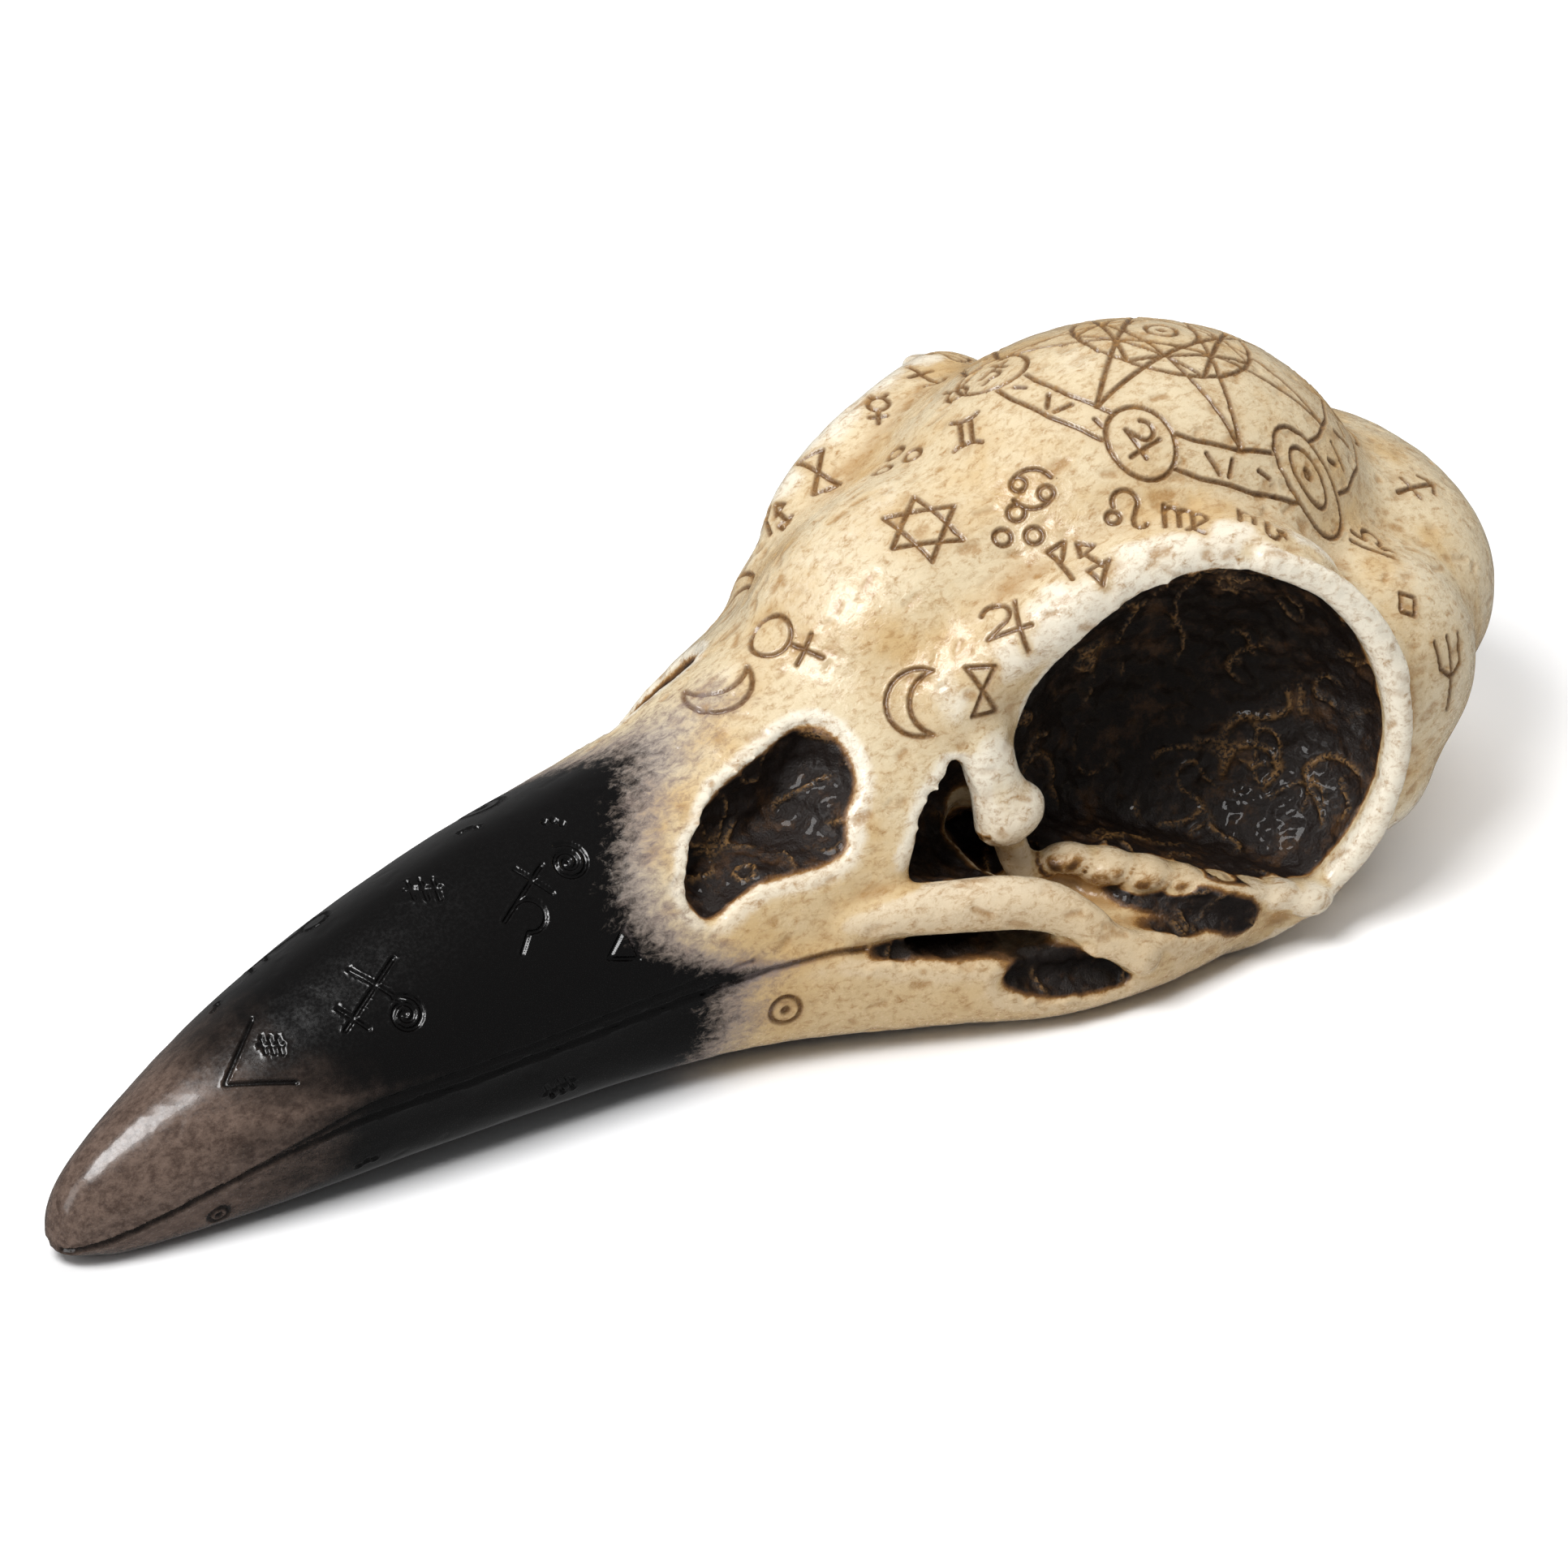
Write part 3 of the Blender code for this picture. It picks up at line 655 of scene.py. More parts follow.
# Signs on the side that the photograph shows: the pixel that each is centred on, its name, its size in
# millimetres, its turn in degrees, and the sign that the other side has in its place
PLACED_SIGNS = (
    ((1178, 482), "taurus", 5.0, 0, "pisces"),
    ((1190, 532), "gemini", 5.0, 5, "aries"),
    ((1272, 602), "cancer", 6.5, 0, "aquarius"),
    ((1385, 630), "leo", 6.0, 0, "capricorn"),
    ((1463, 640), "virgo", 6.5, 0, "archer"),
    ((1555, 642), "scorpio", 6.5, 0, "virgo"),
    ((1690, 668), "libra", 6.5, 0, "taurus"),
    ((1745, 600), "archer", 7.0, 0, "leo"),
    ((1105, 567), "three_rings", 7.5, 0, "three_rings"),
    ((1254, 652), "three_rings", 7.0, 0, "hourglass"),
    ((1138, 648), "six_star", 11.0, 12, "star"),
    ((1125, 866), "moon", 8.5, 0, "moon"),
    ((1212, 852), "hourglass", 6.5, 5, "cross"),
    ((1330, 692), "wedges", 9.0, 0, "ticks"),
    ((1240, 768), "jupiter", 8.0, 10, "saturn"),
    ((1082, 500), "mercury", 6.5, 0, "mars"),
    ((1008, 582), "hourglass", 7.0, 20, "wedges"),
    ((955, 640), "wedges", 6.0, 0, "dots"),
    ((1735, 745), "square", 3.6, 0, "sun"),
    ((1788, 830), "fork", 9.0, 0, "venus"),
    ((965, 790), "venus", 11.0, 60, "mercury"),
    ((885, 850), "moon", 9.0, 100, "angle"),
    ((320, 1300), "angle", 9.5, 0, "fork"),
    ((335, 1288), "ticks", 3.2, 0, "dots"),
    ((455, 1225), "cross", 12.0, -30, "key"),
    ((500, 1250), "spiral", 6.0, 0, "spiral"),
    ((522, 1095), "ticks", 5.0, 0, "angle"),
    ((650, 1120), "saturn", 12.0, -30, "jupiter"),
    ((700, 1062), "spiral", 6.5, 0, "sun"),
    ((578, 1022), "dots", 3.5, 0, "dots"),
    ((682, 1014), "dots", 3.5, 0, "ticks"),
    ((770, 1165), "fire", 5.0, 0, "air"),
    ((968, 1245), "sun", 4.5, 0, "moon"),
    ((690, 1340), "ticks", 4.5, 0, "ticks"),
    ((452, 1432), "dots", 3.5, 0, "dots"),
    ((270, 1497), "sun", 3.0, 0, "dots"),
)

# The crown's rosette
ROSETTE_CENTRE = (167.5, 1.0)
ROSETTE_RADII = (24.5, 20.5, 11.0, 4.6)
ROSETTE_DISCS = ("sun", "moon", "venus", "mars", "saturn", "jupiter")
ROSETTE_DISC_RADIUS = 4.3
ROSETTE_POINTS = 7

LINE_WIDTH = 0.74
LINE_DEPTH = 0.38
SAMPLE_STEP = 0.16


def resampled(points, step):
    """Points at even steps along a polyline of any dimension."""
    path = np.array(points, float)
    length = np.concatenate([[0], np.cumsum(np.linalg.norm(np.diff(path, axis=0), axis=1))])
    at = np.linspace(0, length[-1], max(2, int(length[-1] / step) + 1))
    return np.stack([np.interp(at, length, path[:, k]) for k in range(path.shape[1])], 1)


class Strokes:
    """Strokes on the skin, as points along them with each point's width, depth and stain, where the band under
    the orbits carries painted shade instead of stain.
    """

    def __init__(self, tree):
        self.tree = tree
        self.points = []
        self.kinds = []
        self.anchors = []

    def add(self, points, width=LINE_WIDTH, depth=LINE_DEPTH, stain=1.0):
        self.points.extend(points)
        self.kinds.extend([(width, depth, stain)] * len(points))

    def draw(self, strokes, anchor, right, up, size):
        """Projects strokes onto the skin along the normal of the plane that right and up span."""
        out = right.cross(up).normalized()
        for stroke in strokes:
            hits = []
            for x, y in resampled([(x * size, y * size) for x, y in stroke], SAMPLE_STEP):
                hit = self.tree.ray_cast(anchor + right * x + up * y + out * 14, -out, 40)[0]
                if hit is not None:
                    hits.append(hit)
            self.add(hits)

    def sign(self, name, anchor, normal, across, size, turn):
        """One sign. across is the direction that is kept level before the turn."""
        right = (across - normal * across.dot(normal)).normalized()
        up = normal.cross(right)
        a = math.radians(turn)
        right, up = right * math.cos(a) + up * math.sin(a), up * math.cos(a) - right * math.sin(a)
        self.draw(SIGNS[name], anchor, right, up, size)
        self.anchors.append((anchor, size))

    def search_tree(self):
        tree = KDTree(len(self.points))
        for i, point in enumerate(self.points):
            tree.insert(point, i)
        tree.balance()
        return tree

    def marks(self, points):
        """Each point's distance to the nearest stroke, with that stroke's width, depth and stain."""
        tree = self.search_tree()
        nearest = np.array([tree.find(p)[1:] for p in points.tolist()])
        kinds = np.array(self.kinds)[nearest[:, 0].astype(int)]
        return nearest[:, 1], kinds[:, 0] / 2, kinds[:, 1], kinds[:, 2]


def engrave_signs(work):
    seen = []
    for pixel, name, size, turn, other in PLACED_SIGNS:
        hit, normal = work.tree.ray_cast(CAMERA.place, CAMERA.ray(pixel))[:2]
        if hit is None:
            continue
        work.sign(name, hit, normal, CAMERA.right, size, turn)
        seen.append((hit, size, turn, other))
    across = Vector((-CAMERA.right.x, CAMERA.right.y, CAMERA.right.z))
    for hit, size, turn, other in seen:
        twin, normal = work.tree.find_nearest(Vector((hit.x, -hit.y, hit.z)))[:2]
        crowded = any((twin - spot).length < (size + width) * 0.62 for spot, width in work.anchors)
        on_rosette = math.dist(twin[:2], ROSETTE_CENTRE) < ROSETTE_RADII[0] + size * 0.6 and twin.z > 40
        if hit.y < 0 and not crowded and not on_rosette:
            work.sign(other, twin, normal, across, size, -turn)


def engrave_rosette(work):
    """The double ring on the crown with its star, its discs and the ticks between its rings."""
    right, up = Vector((0, -1, 0)), Vector((1, 0, 0))
    centre = Vector((*ROSETTE_CENTRE, 60))
    outer, inner, heart, core = ROSETTE_RADII
    discs = [math.radians(360 * k / len(ROSETTE_DISCS) + 12) for k in range(len(ROSETTE_DISCS))]
    middle = (outer + inner) / 2
    spots = [(middle * math.cos(a), middle * math.sin(a)) for a in discs]

    def clear_of_discs(point, room):
        return all(math.dist(point, spot) > room for spot in spots)

    for radius in (outer, inner):
        kept = []
        for point in resampled(ring(0, 0, radius), 1.0):
            if clear_of_discs(point, ROSETTE_DISC_RADIUS):
                kept.append(tuple(point))
            elif len(kept) > 1:
                work.draw([kept], centre, right, up, 1)
                kept = []
            else:
                kept = []
        if len(kept) > 1:
            work.draw([kept], centre, right, up, 1)
    work.draw([ring(0, 0, heart), ring(0, 0, core), star(ROSETTE_POINTS, 3, inner)], centre, right, up, 1)
    work.draw([star(ROSETTE_POINTS, 2, heart)], centre, right, up, 1)
    for (x, y), name in zip(spots, ROSETTE_DISCS):
        at = centre + right * x + up * y
        work.draw([ring(0, 0, ROSETTE_DISC_RADIUS)], at, right, up, 1)
        work.draw(SIGNS[name], at, right, up, ROSETTE_DISC_RADIUS * 1.25)
    for k in range(40):
        a = math.radians(360 * k / 40)
        if clear_of_discs((middle * math.cos(a), middle * math.sin(a)), ROSETTE_DISC_RADIUS + 1.0):
            low, high = (inner + 1.1, outer - 1.1) if k % 3 else (middle - 0.3, middle + 0.3)
            lean = math.radians(3 if k % 2 else -3)
            b = a + lean
            tick = [(low * math.cos(a), low * math.sin(a)), (high * math.cos(b), high * math.sin(b))]
            work.draw([tick], centre, right, up, 1)
    work.draw(SIGNS["sun"], centre, right, up, core * 1.0)


def engrave_gape(work):
    """The line between the upper bill and the jaw, and the finer one above it."""
    for side in SIDES:
        for rise, low, high, width, depth in ((0.0, -4.2, 98, 1.0, 0.6), (2.0, 14, 84, 0.7, 0.22)):
            path = []
            for x in steps(low, high, 60):
                lift = rise * min(1, (x - low) / 20)
                path.append((x, gape_half_width(x) * 1.02 * side, gape_height(x) + lift))
            hits = [work.tree.find_nearest(Vector(p))[0] for p in resampled(path, SAMPLE_STEP)]
            work.add(hits, width=width, depth=depth, stain=0.9)


def crease_rims(creases):
    """The soft valley between each orbit's rim and the dome behind and above it."""
    for side in SIDES:
        path = [orbit_point(side, angle, ORBIT_RADIUS + 5.6) for angle in range(-10, 141, 5)]
        hits = []
        for point in resampled(path, 0.5):
            hits.append(creases.tree.find_nearest(Vector(point))[0])
        creases.add(hits, width=3.2, depth=0.7, stain=0.9)


# Painted shade: the dark band under the left orbit's floor, as pixels of the photograph
PAINTED_SHADE_BAND = ((1300, 1060), (1390, 1090), (1450, 1110), (1530, 1130))
# The back of the opening in front of the tear bone, darkened with painted shade too
PAINTED_SHADE_BACK = ((1176, 1000), (1200, 1036), (1230, 1060))


def paint_shade_band(painted_shades):
    """The painted shade that runs back from each face opening under the orbit's floor."""
    for route, width, strength in ((PAINTED_SHADE_BAND, 5.0, 1.0), (PAINTED_SHADE_BACK, 4.4, 2.0)):
        left = []
        for pixel in resampled(route, 6):
            hit = painted_shades.tree.ray_cast(CAMERA.place, CAMERA.ray(tuple(pixel)))[0]
            if hit is not None:
                left.append(hit)
        right = [painted_shades.tree.find_nearest(Vector((p.x, -p.y, p.z)))[0] for p in left]
        painted_shades.add(left + right, width=width, depth=0, stain=strength)


def scatter_flecks(flecks, mesh, count=1700):
    """Short shallow dents all over the skin, as worn resin has."""
    draw = random.Random(7)
    faces = mesh.polygons
    for _ in range(count):
        face = faces[draw.randrange(len(faces))]
        centre, normal = face.center / MM, face.normal
        grain = Vector((1, draw.uniform(-0.7, 0.7), draw.uniform(-0.7, 0.7)))
        along = (grain - normal * grain.dot(normal)).normalized()
        length = draw.uniform(0.1, 2.6) ** 1.2 * 0.8
        width = draw.uniform(0.7, 1.5)
        depth = draw.uniform(0.04, 0.2)
        path = [centre - along * length / 2, centre + along * length / 2]
        flecks.add([Vector(p) for p in resampled(path, 0.3)], width, depth, draw.uniform(0.2, 0.9))


def refined(obj, work):
    """Triangulates the skin and makes it finer along the engraved lines."""
    near = work.search_tree()
    form = bmesh.new()
    form.from_mesh(obj.data)
    bmesh.ops.triangulate(form, faces=form.faces)
    close = {v for v in form.verts if near.find(v.co / MM)[2] < 0.9}
    edges = [e for e in form.edges if e.verts[0] in close and e.verts[1] in close]
    bmesh.ops.subdivide_edges(form, edges=edges, cuts=1)
    bmesh.ops.triangulate(form, faces=[f for f in form.faces if len(f.verts) > 3])
    form.to_mesh(obj.data)
    form.free()


def lattice_noise(points, scale, seed=0):
    """Smooth noise from about -1 to 1 at points, with features about scale millimetres across."""
    p = points / scale + 1000 + seed * 17.17
    cell = np.floor(p).astype(np.int64)
    part_way = p - cell
    blend = part_way * part_way * part_way * (part_way * (part_way * 6 - 15) + 10)
    total = np.zeros(len(p))
    for corner in range(8):
        offset = np.array([corner & 1, corner >> 1 & 1, corner >> 2 & 1])
        key = cell + offset
        mixed = key[:, 0] * 73856093 ^ key[:, 1] * 19349663 ^ key[:, 2] * 83492791 ^ seed * 7919
        mixed = mixed & 0xFFFFFFFF
        mixed = (mixed ^ mixed >> 15) * 739982445 & 0xFFFFFFFF
        mixed = (mixed ^ mixed >> 12) * 695872825 & 0xFFFFFFFF
        mixed = mixed ^ mixed >> 15
        angle = (mixed & 0xFFFF) / 65536 * 2 * np.pi
        tilt = (mixed >> 16 & 0xFFFF) / 65536 * 2 - 1
        flat = np.sqrt(1 - tilt * tilt)
        gradient = np.stack([flat * np.cos(angle), flat * np.sin(angle), tilt], 1)
        value = np.sum(gradient * (part_way - offset), 1)
        weight = np.prod(np.where(offset, blend, 1 - blend), 1)
        total += value * weight
    return total * 1.6


def smooth_step(low, high, values):
    t = np.clip((values - low) / (high - low), 0, 1)
    return t * t * (3 - 2 * t)


# Where black paint ends, as the distance from the bill tip against the height above the table
PAINT_END = (
    (0, 77), (3.2, 78.3), (6.1, 79.5), (9.4, 81), (12.4, 80), (14, 82), (15.3, 86), (16.3, 82),
    (18.6, 77.5), (21, 74), (24.5, 71.5), (28.5, 72), (31.3, 74.9), (33.9, 78.6), (36.3, 84),
    (38.9, 88), (40.4, 91.8), (46, 93),
)


def mesh_arrays(mesh):
    count = len(mesh.vertices)
    points = np.empty(count * 3, np.float32)
    mesh.vertices.foreach_get("co", points)
    normals = np.empty(count * 3, np.float32)
    mesh.vertices.foreach_get("normal", normals)
    edges = np.empty(len(mesh.edges) * 2, np.int32)
    mesh.edges.foreach_get("vertices", edges)
    return points.reshape(-1, 3) / MM, normals.reshape(-1, 3).astype(float), edges.reshape(-1, 2)


def relaxed(values, edges, rounds):
    """Values averaged over each vertex's neighbours, a number of times."""
    count = len(values)
    degree = np.bincount(edges.ravel(), minlength=count)
    for _ in range(rounds):
        total = np.zeros_like(values)
        for k in range(values.shape[1]):
            total[:, k] = np.bincount(edges[:, 0], values[edges[:, 1], k], count)
            total[:, k] += np.bincount(edges[:, 1], values[edges[:, 0], k], count)
        values = 0.5 * values + 0.5 * total / degree[:, None]
    return values


def set_attribute(mesh, name, values):
    layer = mesh.attributes.new(name, "FLOAT", "POINT")
    layer.data.foreach_set("value", np.ascontiguousarray(values, np.float32))


def finish_skin(obj, lines, creases, flecks, painted_shades, body_tree, extra_tree):
    """Cuts the engraving, roughens the hollows and writes what the materials read at each vertex."""
    mesh = obj.data
    points, normals, edges = mesh_arrays(mesh)
    count = len(points)
    distance, width, depth, stain = lines.marks(points)
    groove = depth * np.clip(1 - (distance / width) ** 2, 0, 1)
    burr = 0.06 * np.exp(-(((distance - width * 1.2) / (width * 0.4)) ** 2)) * (distance < 2)
    line = stain * np.exp(-((distance / (width * 1.05)) ** 4))
    halo = stain * np.exp(-distance / 0.9)
    distance, width, depth, stain = creases.marks(points)
    valley = np.exp(-((distance / width) ** 2))
    crease = stain * valley
    groove += depth * valley
    distance, width, depth, stain = flecks.marks(points)
    dent = np.exp(-((distance / width) ** 4))
    fleck = stain * dent

    recess = np.zeros(count)
    for i, point in enumerate(points.tolist()):
        hit, normal, _, far = body_tree.find_nearest(point)
        if (Vector(point) - hit).dot(normal) < 0:
            recess[i] = far
    proud = np.array([extra_tree.find_nearest(p)[3] for p in points.tolist()])
    off_bars = smooth_step(0.1, 0.5, proud)
    # The band under each orbit's floor is painted shade, merged into the dark stain of the hollows
    distance, width, _, stain = painted_shades.marks(points)
    band = smooth_step(width * 1.3, width * 0.7, distance)
    off_table = smooth_step(1.5, 2.5, points[:, 2])
    hollow = np.maximum(smooth_step(0.5, 1.8, recess), band) * off_bars * off_table
    # At the back of the opening in front of the tear bone the painted shade covers the bars and the skin near
    # the table too
    hollow = np.maximum(hollow, band * (stain > 1))

    lumps = lattice_noise(points, 6.0, 1) + 0.6 * lattice_noise(points, 2.6, 2)
    lumps += 0.5 * lattice_noise(points, 1.4, 7)
    vein = np.zeros(count)
    for size, seed in ((9.0, 23), (5.0, 31)):
        ridge = 1 - np.abs(lattice_noise(points, size, seed)) * 2.2
        patch = smooth_step(0.0, 0.3, lattice_noise(points, 8, seed + 1))
        vein = np.maximum(vein, smooth_step(0.84, 0.98, ridge) * patch)
    swell = lattice_noise(points, 7, 5) * 0.12 + lattice_noise(points, 2.6, 6) * 0.06
    rough = hollow * (0.55 * lumps + 0.5 * vein)
    paint = np.interp(points[:, 2], *zip(*PAINT_END)) - points[:, 0]
    bare = smooth_step(8, -4, paint)
    shift = swell * (0.25 + 0.75 * bare) + rough - groove + burr - dent * depth * (0.25 + 0.75 * bare)
    cavity = np.sum((relaxed(points, edges, 30) - points) * normals, 1)

    moved = points + normals * shift[:, None]
    moved[:, 2] = np.maximum(moved[:, 2], 0)
    low, high = (np.array(corner) / MM + (MIDDLE_X, 0, 0) for corner in CAD_BOX)
    moved = np.clip(moved, low, high)
    mesh.vertices.foreach_set("co", ((moved - (MIDDLE_X, 0, 0)) * MM).ravel())
    for name, values in (
        ("line", line),
        ("halo", halo),
        ("crease", crease),
        ("fleck", fleck),
        ("hollow", hollow),
        ("vein", vein),
        ("paint", paint),
        ("cavity", cavity),
        # low is painted shade: the lower front of the skull and the jaws made darker and warmer
        ("low", smooth_step(30, 14, points[:, 2]) * smooth_step(165, 140, points[:, 0])),
    ):
        set_attribute(mesh, name, values)
    mesh.update()
    mesh.shade_smooth()


class Nodes:
    """Builds a material's node tree with short calls."""

    def __init__(self, name):
        self.material = bpy.data.materials.new(name)
        self.material.use_nodes = True
        self.tree = self.material.node_tree
        self.shader = self.tree.nodes["Principled BSDF"]

    def node(self, kind, **settings):
        made = self.tree.nodes.new(f"ShaderNode{kind}")
        for key, value in settings.items():
            setattr(made, key, value)
        return made

    def put(self, socket, value):
        if isinstance(value, bpy.types.NodeSocket):
            self.tree.links.new(value, socket)
        else:
            socket.default_value = value

    def attribute(self, name):
        return self.node("Attribute", attribute_name=name).outputs["Fac"]

    def math(self, operation, a, b=0.0, clamp=False):
        made = self.node("Math", operation=operation, use_clamp=clamp)
        self.put(made.inputs[0], a)
        self.put(made.inputs[1], b)
        return made.outputs[0]

    def span(self, value, low, high, start=0.0, end=1.0):
        """value mapped smoothly from low..high to start..end."""
        made = self.node("MapRange", interpolation_type="SMOOTHSTEP")
        sockets = ("Value", "From Min", "From Max", "To Min", "To Max")
        for socket, v in zip(sockets, (value, low, high, start, end)):
            self.put(made.inputs[socket], v)
        return made.outputs[0]

    def noise(self, size, detail=4.0, rough=0.55, stretch=(1, 1, 1), distortion=0.0):
        """Noise with features about size millimetres across."""
        place = self.node("TexCoord").outputs["Object"]
        scale = self.node("Mapping")
        self.put(scale.inputs["Vector"], place)
        self.put(scale.inputs["Scale"], tuple(s / (size * MM) for s in stretch))
        made = self.node("TexNoise")
        self.put(made.inputs["Vector"], scale.outputs[0])
        self.put(made.inputs["Scale"], 1.0)
        self.put(made.inputs["Detail"], detail)
        self.put(made.inputs["Roughness"], rough)
        self.put(made.inputs["Distortion"], distortion)
        return made.outputs["Fac"]

    def mix(self, factor, a, b):
        made = self.node("Mix", data_type="RGBA")
        self.put(made.inputs["Factor"], factor)
        for socket, colour in ((made.inputs[6], a), (made.inputs[7], b)):
            self.put(socket, colour if isinstance(colour, bpy.types.NodeSocket) else (*colour, 1.0))
        return made.outputs[2]


def srgb(red, green, blue):
    """A linear colour from 0..255 screen values."""
    shares = (c / 255 for c in (red, green, blue))
    return tuple((c / 12.92) if c <= 0.04045 else ((c + 0.055) / 1.055) ** 2.4 for c in shares)


# The paler cream of worn crests where the stain is rubbed off, and also a painted highlight on the rims
PALE_WEAR_AND_HIGHLIGHT = srgb(234, 227, 210)
CREAM = srgb(214, 197, 164)
WARM = srgb(200, 170, 122)
TAN = srgb(158, 118, 68)
BROWN = srgb(100, 67, 34)
# Darkens the stained hollows and also the painted shade under each orbit's floor
DARK_STAIN_AND_SHADE = srgb(24, 13, 7)
BLACK = srgb(5, 4, 4)
WORN = srgb(106, 89, 79)
WORN_DARK = srgb(64, 50, 43)
GREY = srgb(128, 118, 118)


def resin_material(name):
    n = Nodes(name)
    line, halo, hollow, crease = (n.attribute(name) for name in ("line", "halo", "hollow", "crease"))
    vein, paint, cavity, fleck = (n.attribute(name) for name in ("vein", "paint", "cavity", "fleck"))
    blotch = n.noise(14, 5, 0.6)
    grain = n.noise(1.3, 4, 0.6, stretch=(0.5, 1, 1), distortion=0.6)
    fine = n.noise(0.45, 4, 0.65)
    streak = n.noise(1.0, 6, 0.75, stretch=(0.6, 1, 1), distortion=0.4)
    waver = n.math("MULTIPLY", n.math("SUBTRACT", fine, 0.5), 0.08)

    colour = n.mix(n.span(blotch, 0.42, 0.7), CREAM, WARM)
    # Convex crests and rims turn paler: partly wear, partly a painted highlight on the rims that face the light
    colour = n.mix(n.span(n.math("ADD", cavity, waver), -0.03, -0.16, 0.0, 0.85), colour, PALE_WEAR_AND_HIGHLIGHT)
    # Painted shade: the lower front of the skull and the jaws go darker and warmer
    colour = n.mix(n.math("MULTIPLY", n.attribute("low"), 0.7), colour, WARM)
    grain_on = n.math("MULTIPLY", n.span(grain, 0.58, 0.72), n.span(blotch, 0.38, 0.6))
    colour = n.mix(n.math("MULTIPLY", grain_on, 0.5), colour, TAN)
    colour = n.mix(n.math("MULTIPLY", fleck, n.span(fine, 0.3, 0.6, 0.5, 0.9)), colour, TAN)
    in_crease = n.span(n.math("ADD", cavity, waver), 0.02, 0.2)
    colour = n.mix(n.math("MULTIPLY", in_crease, 0.75), colour, TAN)
    colour = n.mix(n.math("MULTIPLY", crease, n.span(grain, 0.35, 0.65)), colour, TAN)
    colour = n.mix(n.math("MULTIPLY", halo, 0.35), colour, TAN)
    colour = n.mix(n.math("MULTIPLY", line, n.span(fine, 0.3, 0.6, 0.75, 1.0)), colour, BROWN)

    # edge follows the hollows' stain and the painted shade band under each orbit's floor
    edge = n.math("ADD", hollow, n.math("MULTIPLY", n.math("SUBTRACT", streak, 0.5), 0.9))
    colour = n.mix(n.span(edge, -0.05, 0.25), colour, TAN)
    colour = n.mix(n.span(edge, 0.12, 0.45), colour, BROWN)
    colour = n.mix(n.span(edge, 0.4, 0.9), colour, DARK_STAIN_AND_SHADE)
    rust = n.math("MULTIPLY", n.span(n.noise(5, 6, 0.75), 0.5, 0.68), n.span(hollow, 0.4, 0.8))
    colour = n.mix(n.math("MULTIPLY", rust, 0.45), colour, BROWN)
    crest = n.math("MULTIPLY", n.math("MULTIPLY", vein, hollow), n.span(fine, 0.42, 0.58))
    colour = n.mix(n.math("MULTIPLY", crest, 0.7), colour, TAN)

    brush = n.math("ADD", paint, n.math("MULTIPLY", n.math("SUBTRACT", streak, 0.5), 13.0))
    haze = n.span(brush, -7.5, 0.0)
    colour = n.mix(n.math("MULTIPLY", haze, 0.8), colour, GREY)
    black_on = n.span(brush, -2.0, 4.0)

    drift = n.math("MULTIPLY", n.math("SUBTRACT", n.noise(9, 6, 0.65), 0.5), 26.0)
    worn = n.span(n.math("ADD", paint, drift), 45.0, 70.0)
    mottled = n.mix(n.span(n.noise(1.1, 8, 0.8, stretch=(0.6, 1, 1)), 0.36, 0.66), WORN, WORN_DARK)
    painted = n.mix(n.math("POWER", worn, 1.3), BLACK, mottled)
    painted = n.mix(n.math("MULTIPLY", line, 0.9), painted, BLACK)
    colour = n.mix(black_on, colour, painted)
    n.put(n.shader.inputs["Base Color"], colour)

    rough = n.span(fine, 0.3, 0.7, 0.16, 0.3)
    rough = n.math("ADD", rough, n.math("MULTIPLY", hollow, 0.25))
    n.put(n.shader.inputs["Roughness"], rough)
    n.shader.inputs["IOR"].default_value = 1.45
    n.shader.inputs["Coat Weight"].default_value = 0.2
    n.shader.inputs["Coat Roughness"].default_value = 0.06

    bump = n.node("Bump")
    bump.inputs["Strength"].default_value = 0.5
    bump.inputs["Distance"].default_value = 0.0005
    bare = n.math("SUBTRACT", 1.0, n.math("MULTIPLY", black_on, 0.9))
    grit = n.math("ADD", n.math("MULTIPLY", grain, 0.5), n.math("MULTIPLY", fine, 0.2))
    height = n.math("MULTIPLY", grit, bare)
    crumbs = n.math("ADD", n.math("MULTIPLY", n.noise(2.2, 8, 0.7), 2.5), n.math("MULTIPLY", fine, 0.8))
    height = n.math("ADD", height, n.math("MULTIPLY", crumbs, hollow))
    n.put(bump.inputs["Height"], height)
    n.put(n.shader.inputs["Normal"], bump.outputs[0])
    return n.material


def clear_floor():
    """A plain pale floor under and behind the ornament, kept out of its reflections as the photo's is."""
    form = bmesh.new()
    bmesh.ops.create_grid(form, x_segments=1, y_segments=1, size=6.0)
    floor = object_of(form, "floor")
    n = Nodes("floor_paper")
    n.put(n.shader.inputs["Base Color"], n.mix(n.noise(900, 2), srgb(250, 250, 250), srgb(246, 246, 247)))
    n.shader.inputs["Roughness"].default_value = 0.9
    floor.data.materials.append(n.material)
    floor.visible_glossy = False


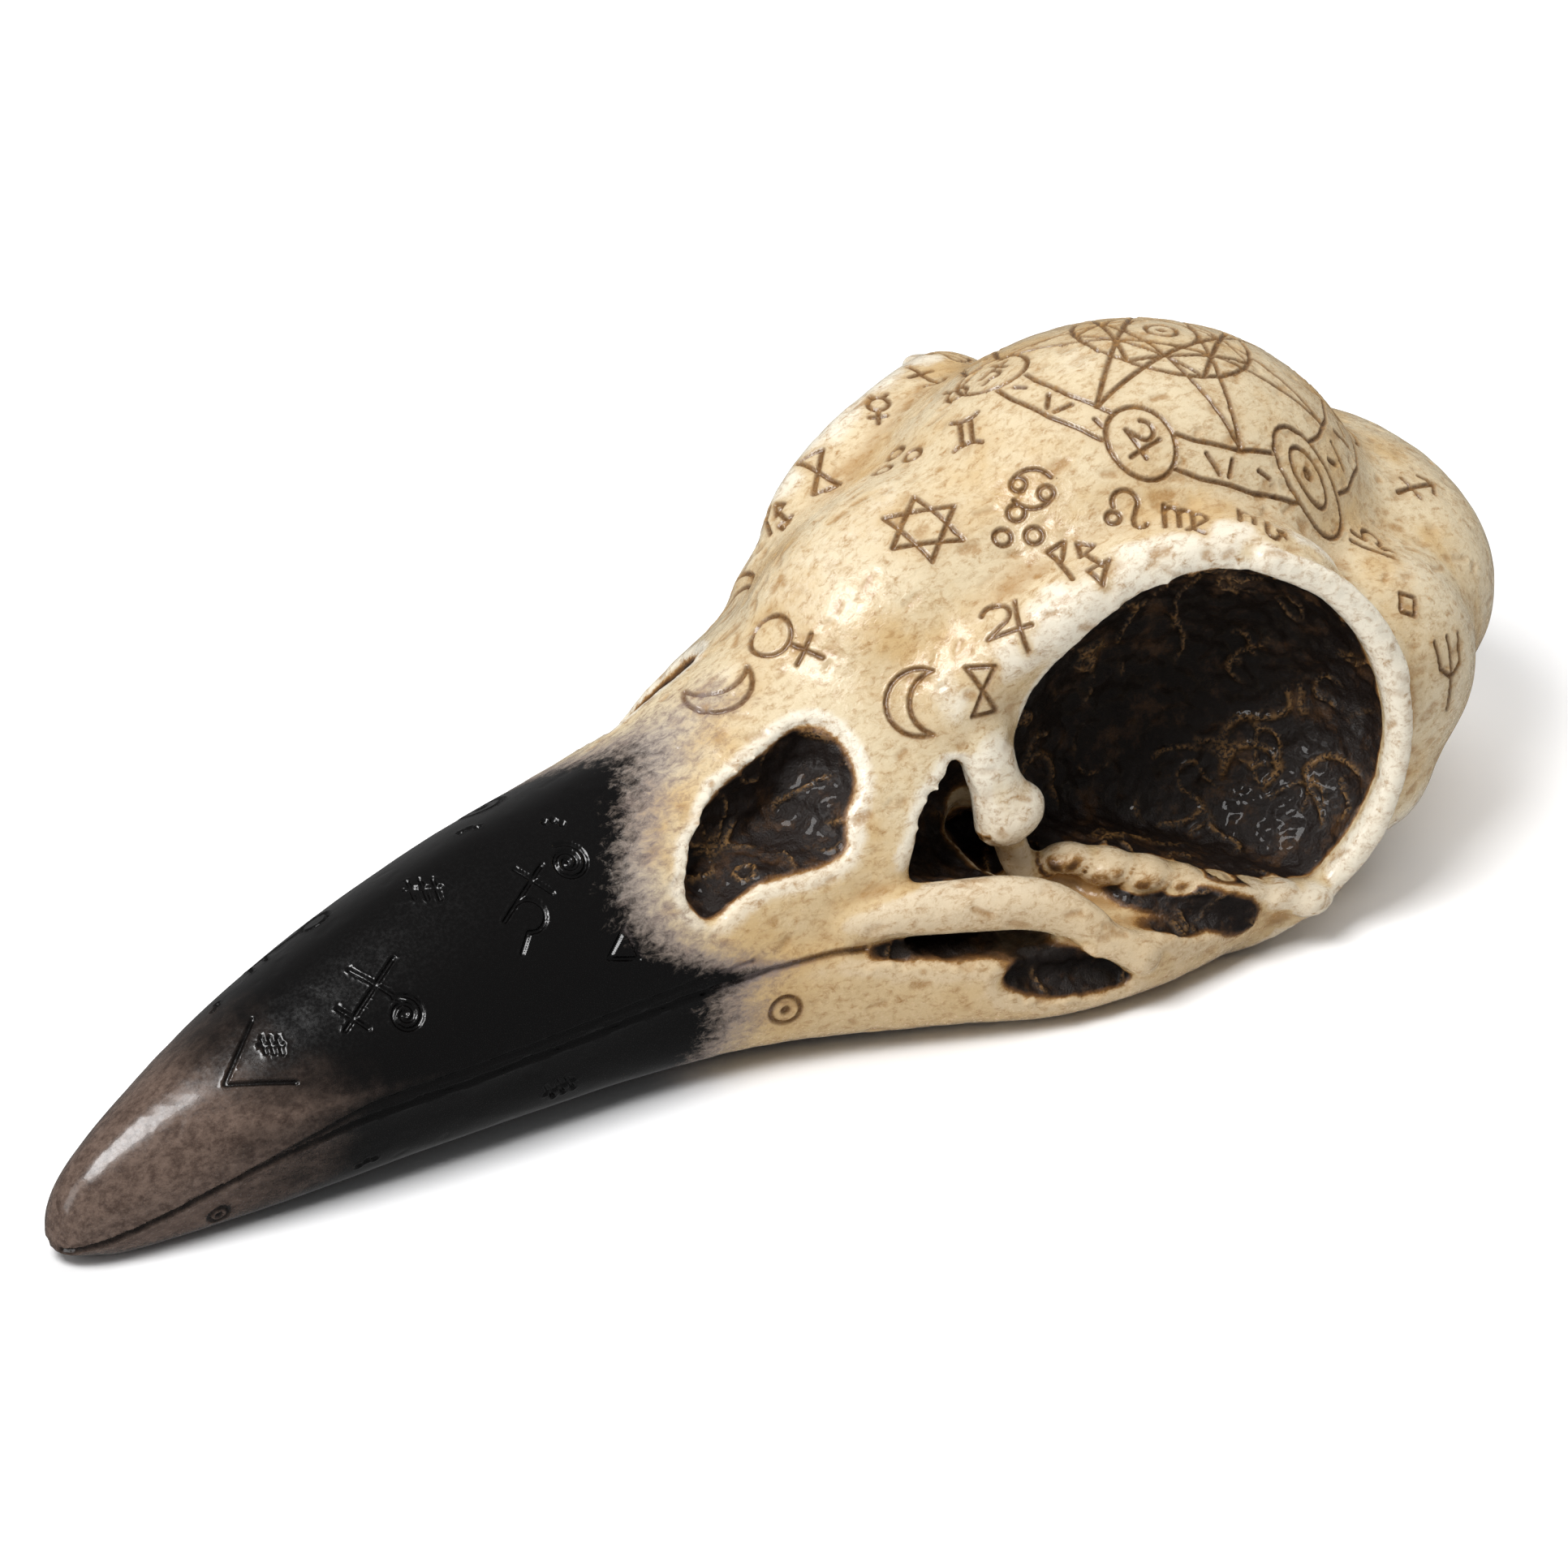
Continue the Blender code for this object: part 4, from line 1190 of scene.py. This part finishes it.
def area_light(name, place, target, size, power, colour=(1, 1, 1)):
    light = bpy.data.lights.new(name, "AREA")
    light.shape = "RECTANGLE"
    light.size, light.size_y = size
    light.energy = power
    light.color = colour
    obj = bpy.data.objects.new(name, light)
    bpy.context.scene.collection.objects.link(obj)
    obj.location = place
    obj.rotation_euler = (Vector(target) - Vector(place)).to_track_quat("-Z", "Y").to_euler()
    return obj


def studio():
    """A soft key above the bill, a matt fill from the rear and a weak box beyond the tip, in a dim room."""
    area_light("key", (-0.55, -0.1, 0.95), (0, 0, 0.02), (0.5, 0.5), 11.5)
    fill = area_light("rear_fill", (0.75, 0.2, 1.1), (0, 0, 0.02), (1.5, 1.5), 16.5)
    fill.visible_glossy = False
    area_light("left_box", (-1.0, 0.1, 0.4), (0, 0, 0.02), (0.4, 0.6), 2)
    world = bpy.data.worlds.new("room")
    bpy.context.scene.world = world
    world.use_nodes = True
    sky = world.node_tree.nodes["Background"]
    sky.inputs["Color"].default_value = (1, 1, 1, 1)
    sky.inputs["Strength"].default_value = 0.14


def photo_camera():
    data = bpy.data.cameras.new("photo_camera")
    data.sensor_width = SENSOR_WIDTH
    data.lens = FOCAL_PIXELS * SENSOR_WIDTH / IMAGE_SIZE[0]
    data.clip_end = 20
    camera = bpy.data.objects.new("photo_camera", data)
    bpy.context.scene.collection.objects.link(camera)
    axes = Matrix((CAMERA.right, CAMERA.up, CAMERA.back)).transposed().to_4x4()
    camera.matrix_world = Matrix.Translation((CAMERA.place - Vector((MIDDLE_X, 0, 0))) * MM) @ axes
    bpy.context.scene.camera = camera


def main():
    skull, body_tree, extra_tree = casting()
    skull.name = "skull_casting"
    tree = tree_of(skull)
    lines, creases, flecks, painted_shades = Strokes(tree), Strokes(tree), Strokes(tree), Strokes(tree)
    engrave_signs(lines)
    engrave_rosette(lines)
    engrave_gape(lines)
    crease_rims(creases)
    scatter_flecks(flecks, skull.data)
    paint_shade_band(painted_shades)
    refined(skull, lines)
    finish_skin(skull, lines, creases, flecks, painted_shades, body_tree, extra_tree)
    skull.data.materials.clear()
    skull.data.materials.append(resin_material("bone_resin"))
    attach(skull, "root")
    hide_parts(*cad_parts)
    clear_floor()
    studio()
    bpy.context.scene.view_settings.view_transform = "Standard"
    photo_camera()
    print("faces", len(skull.data.polygons))


main()
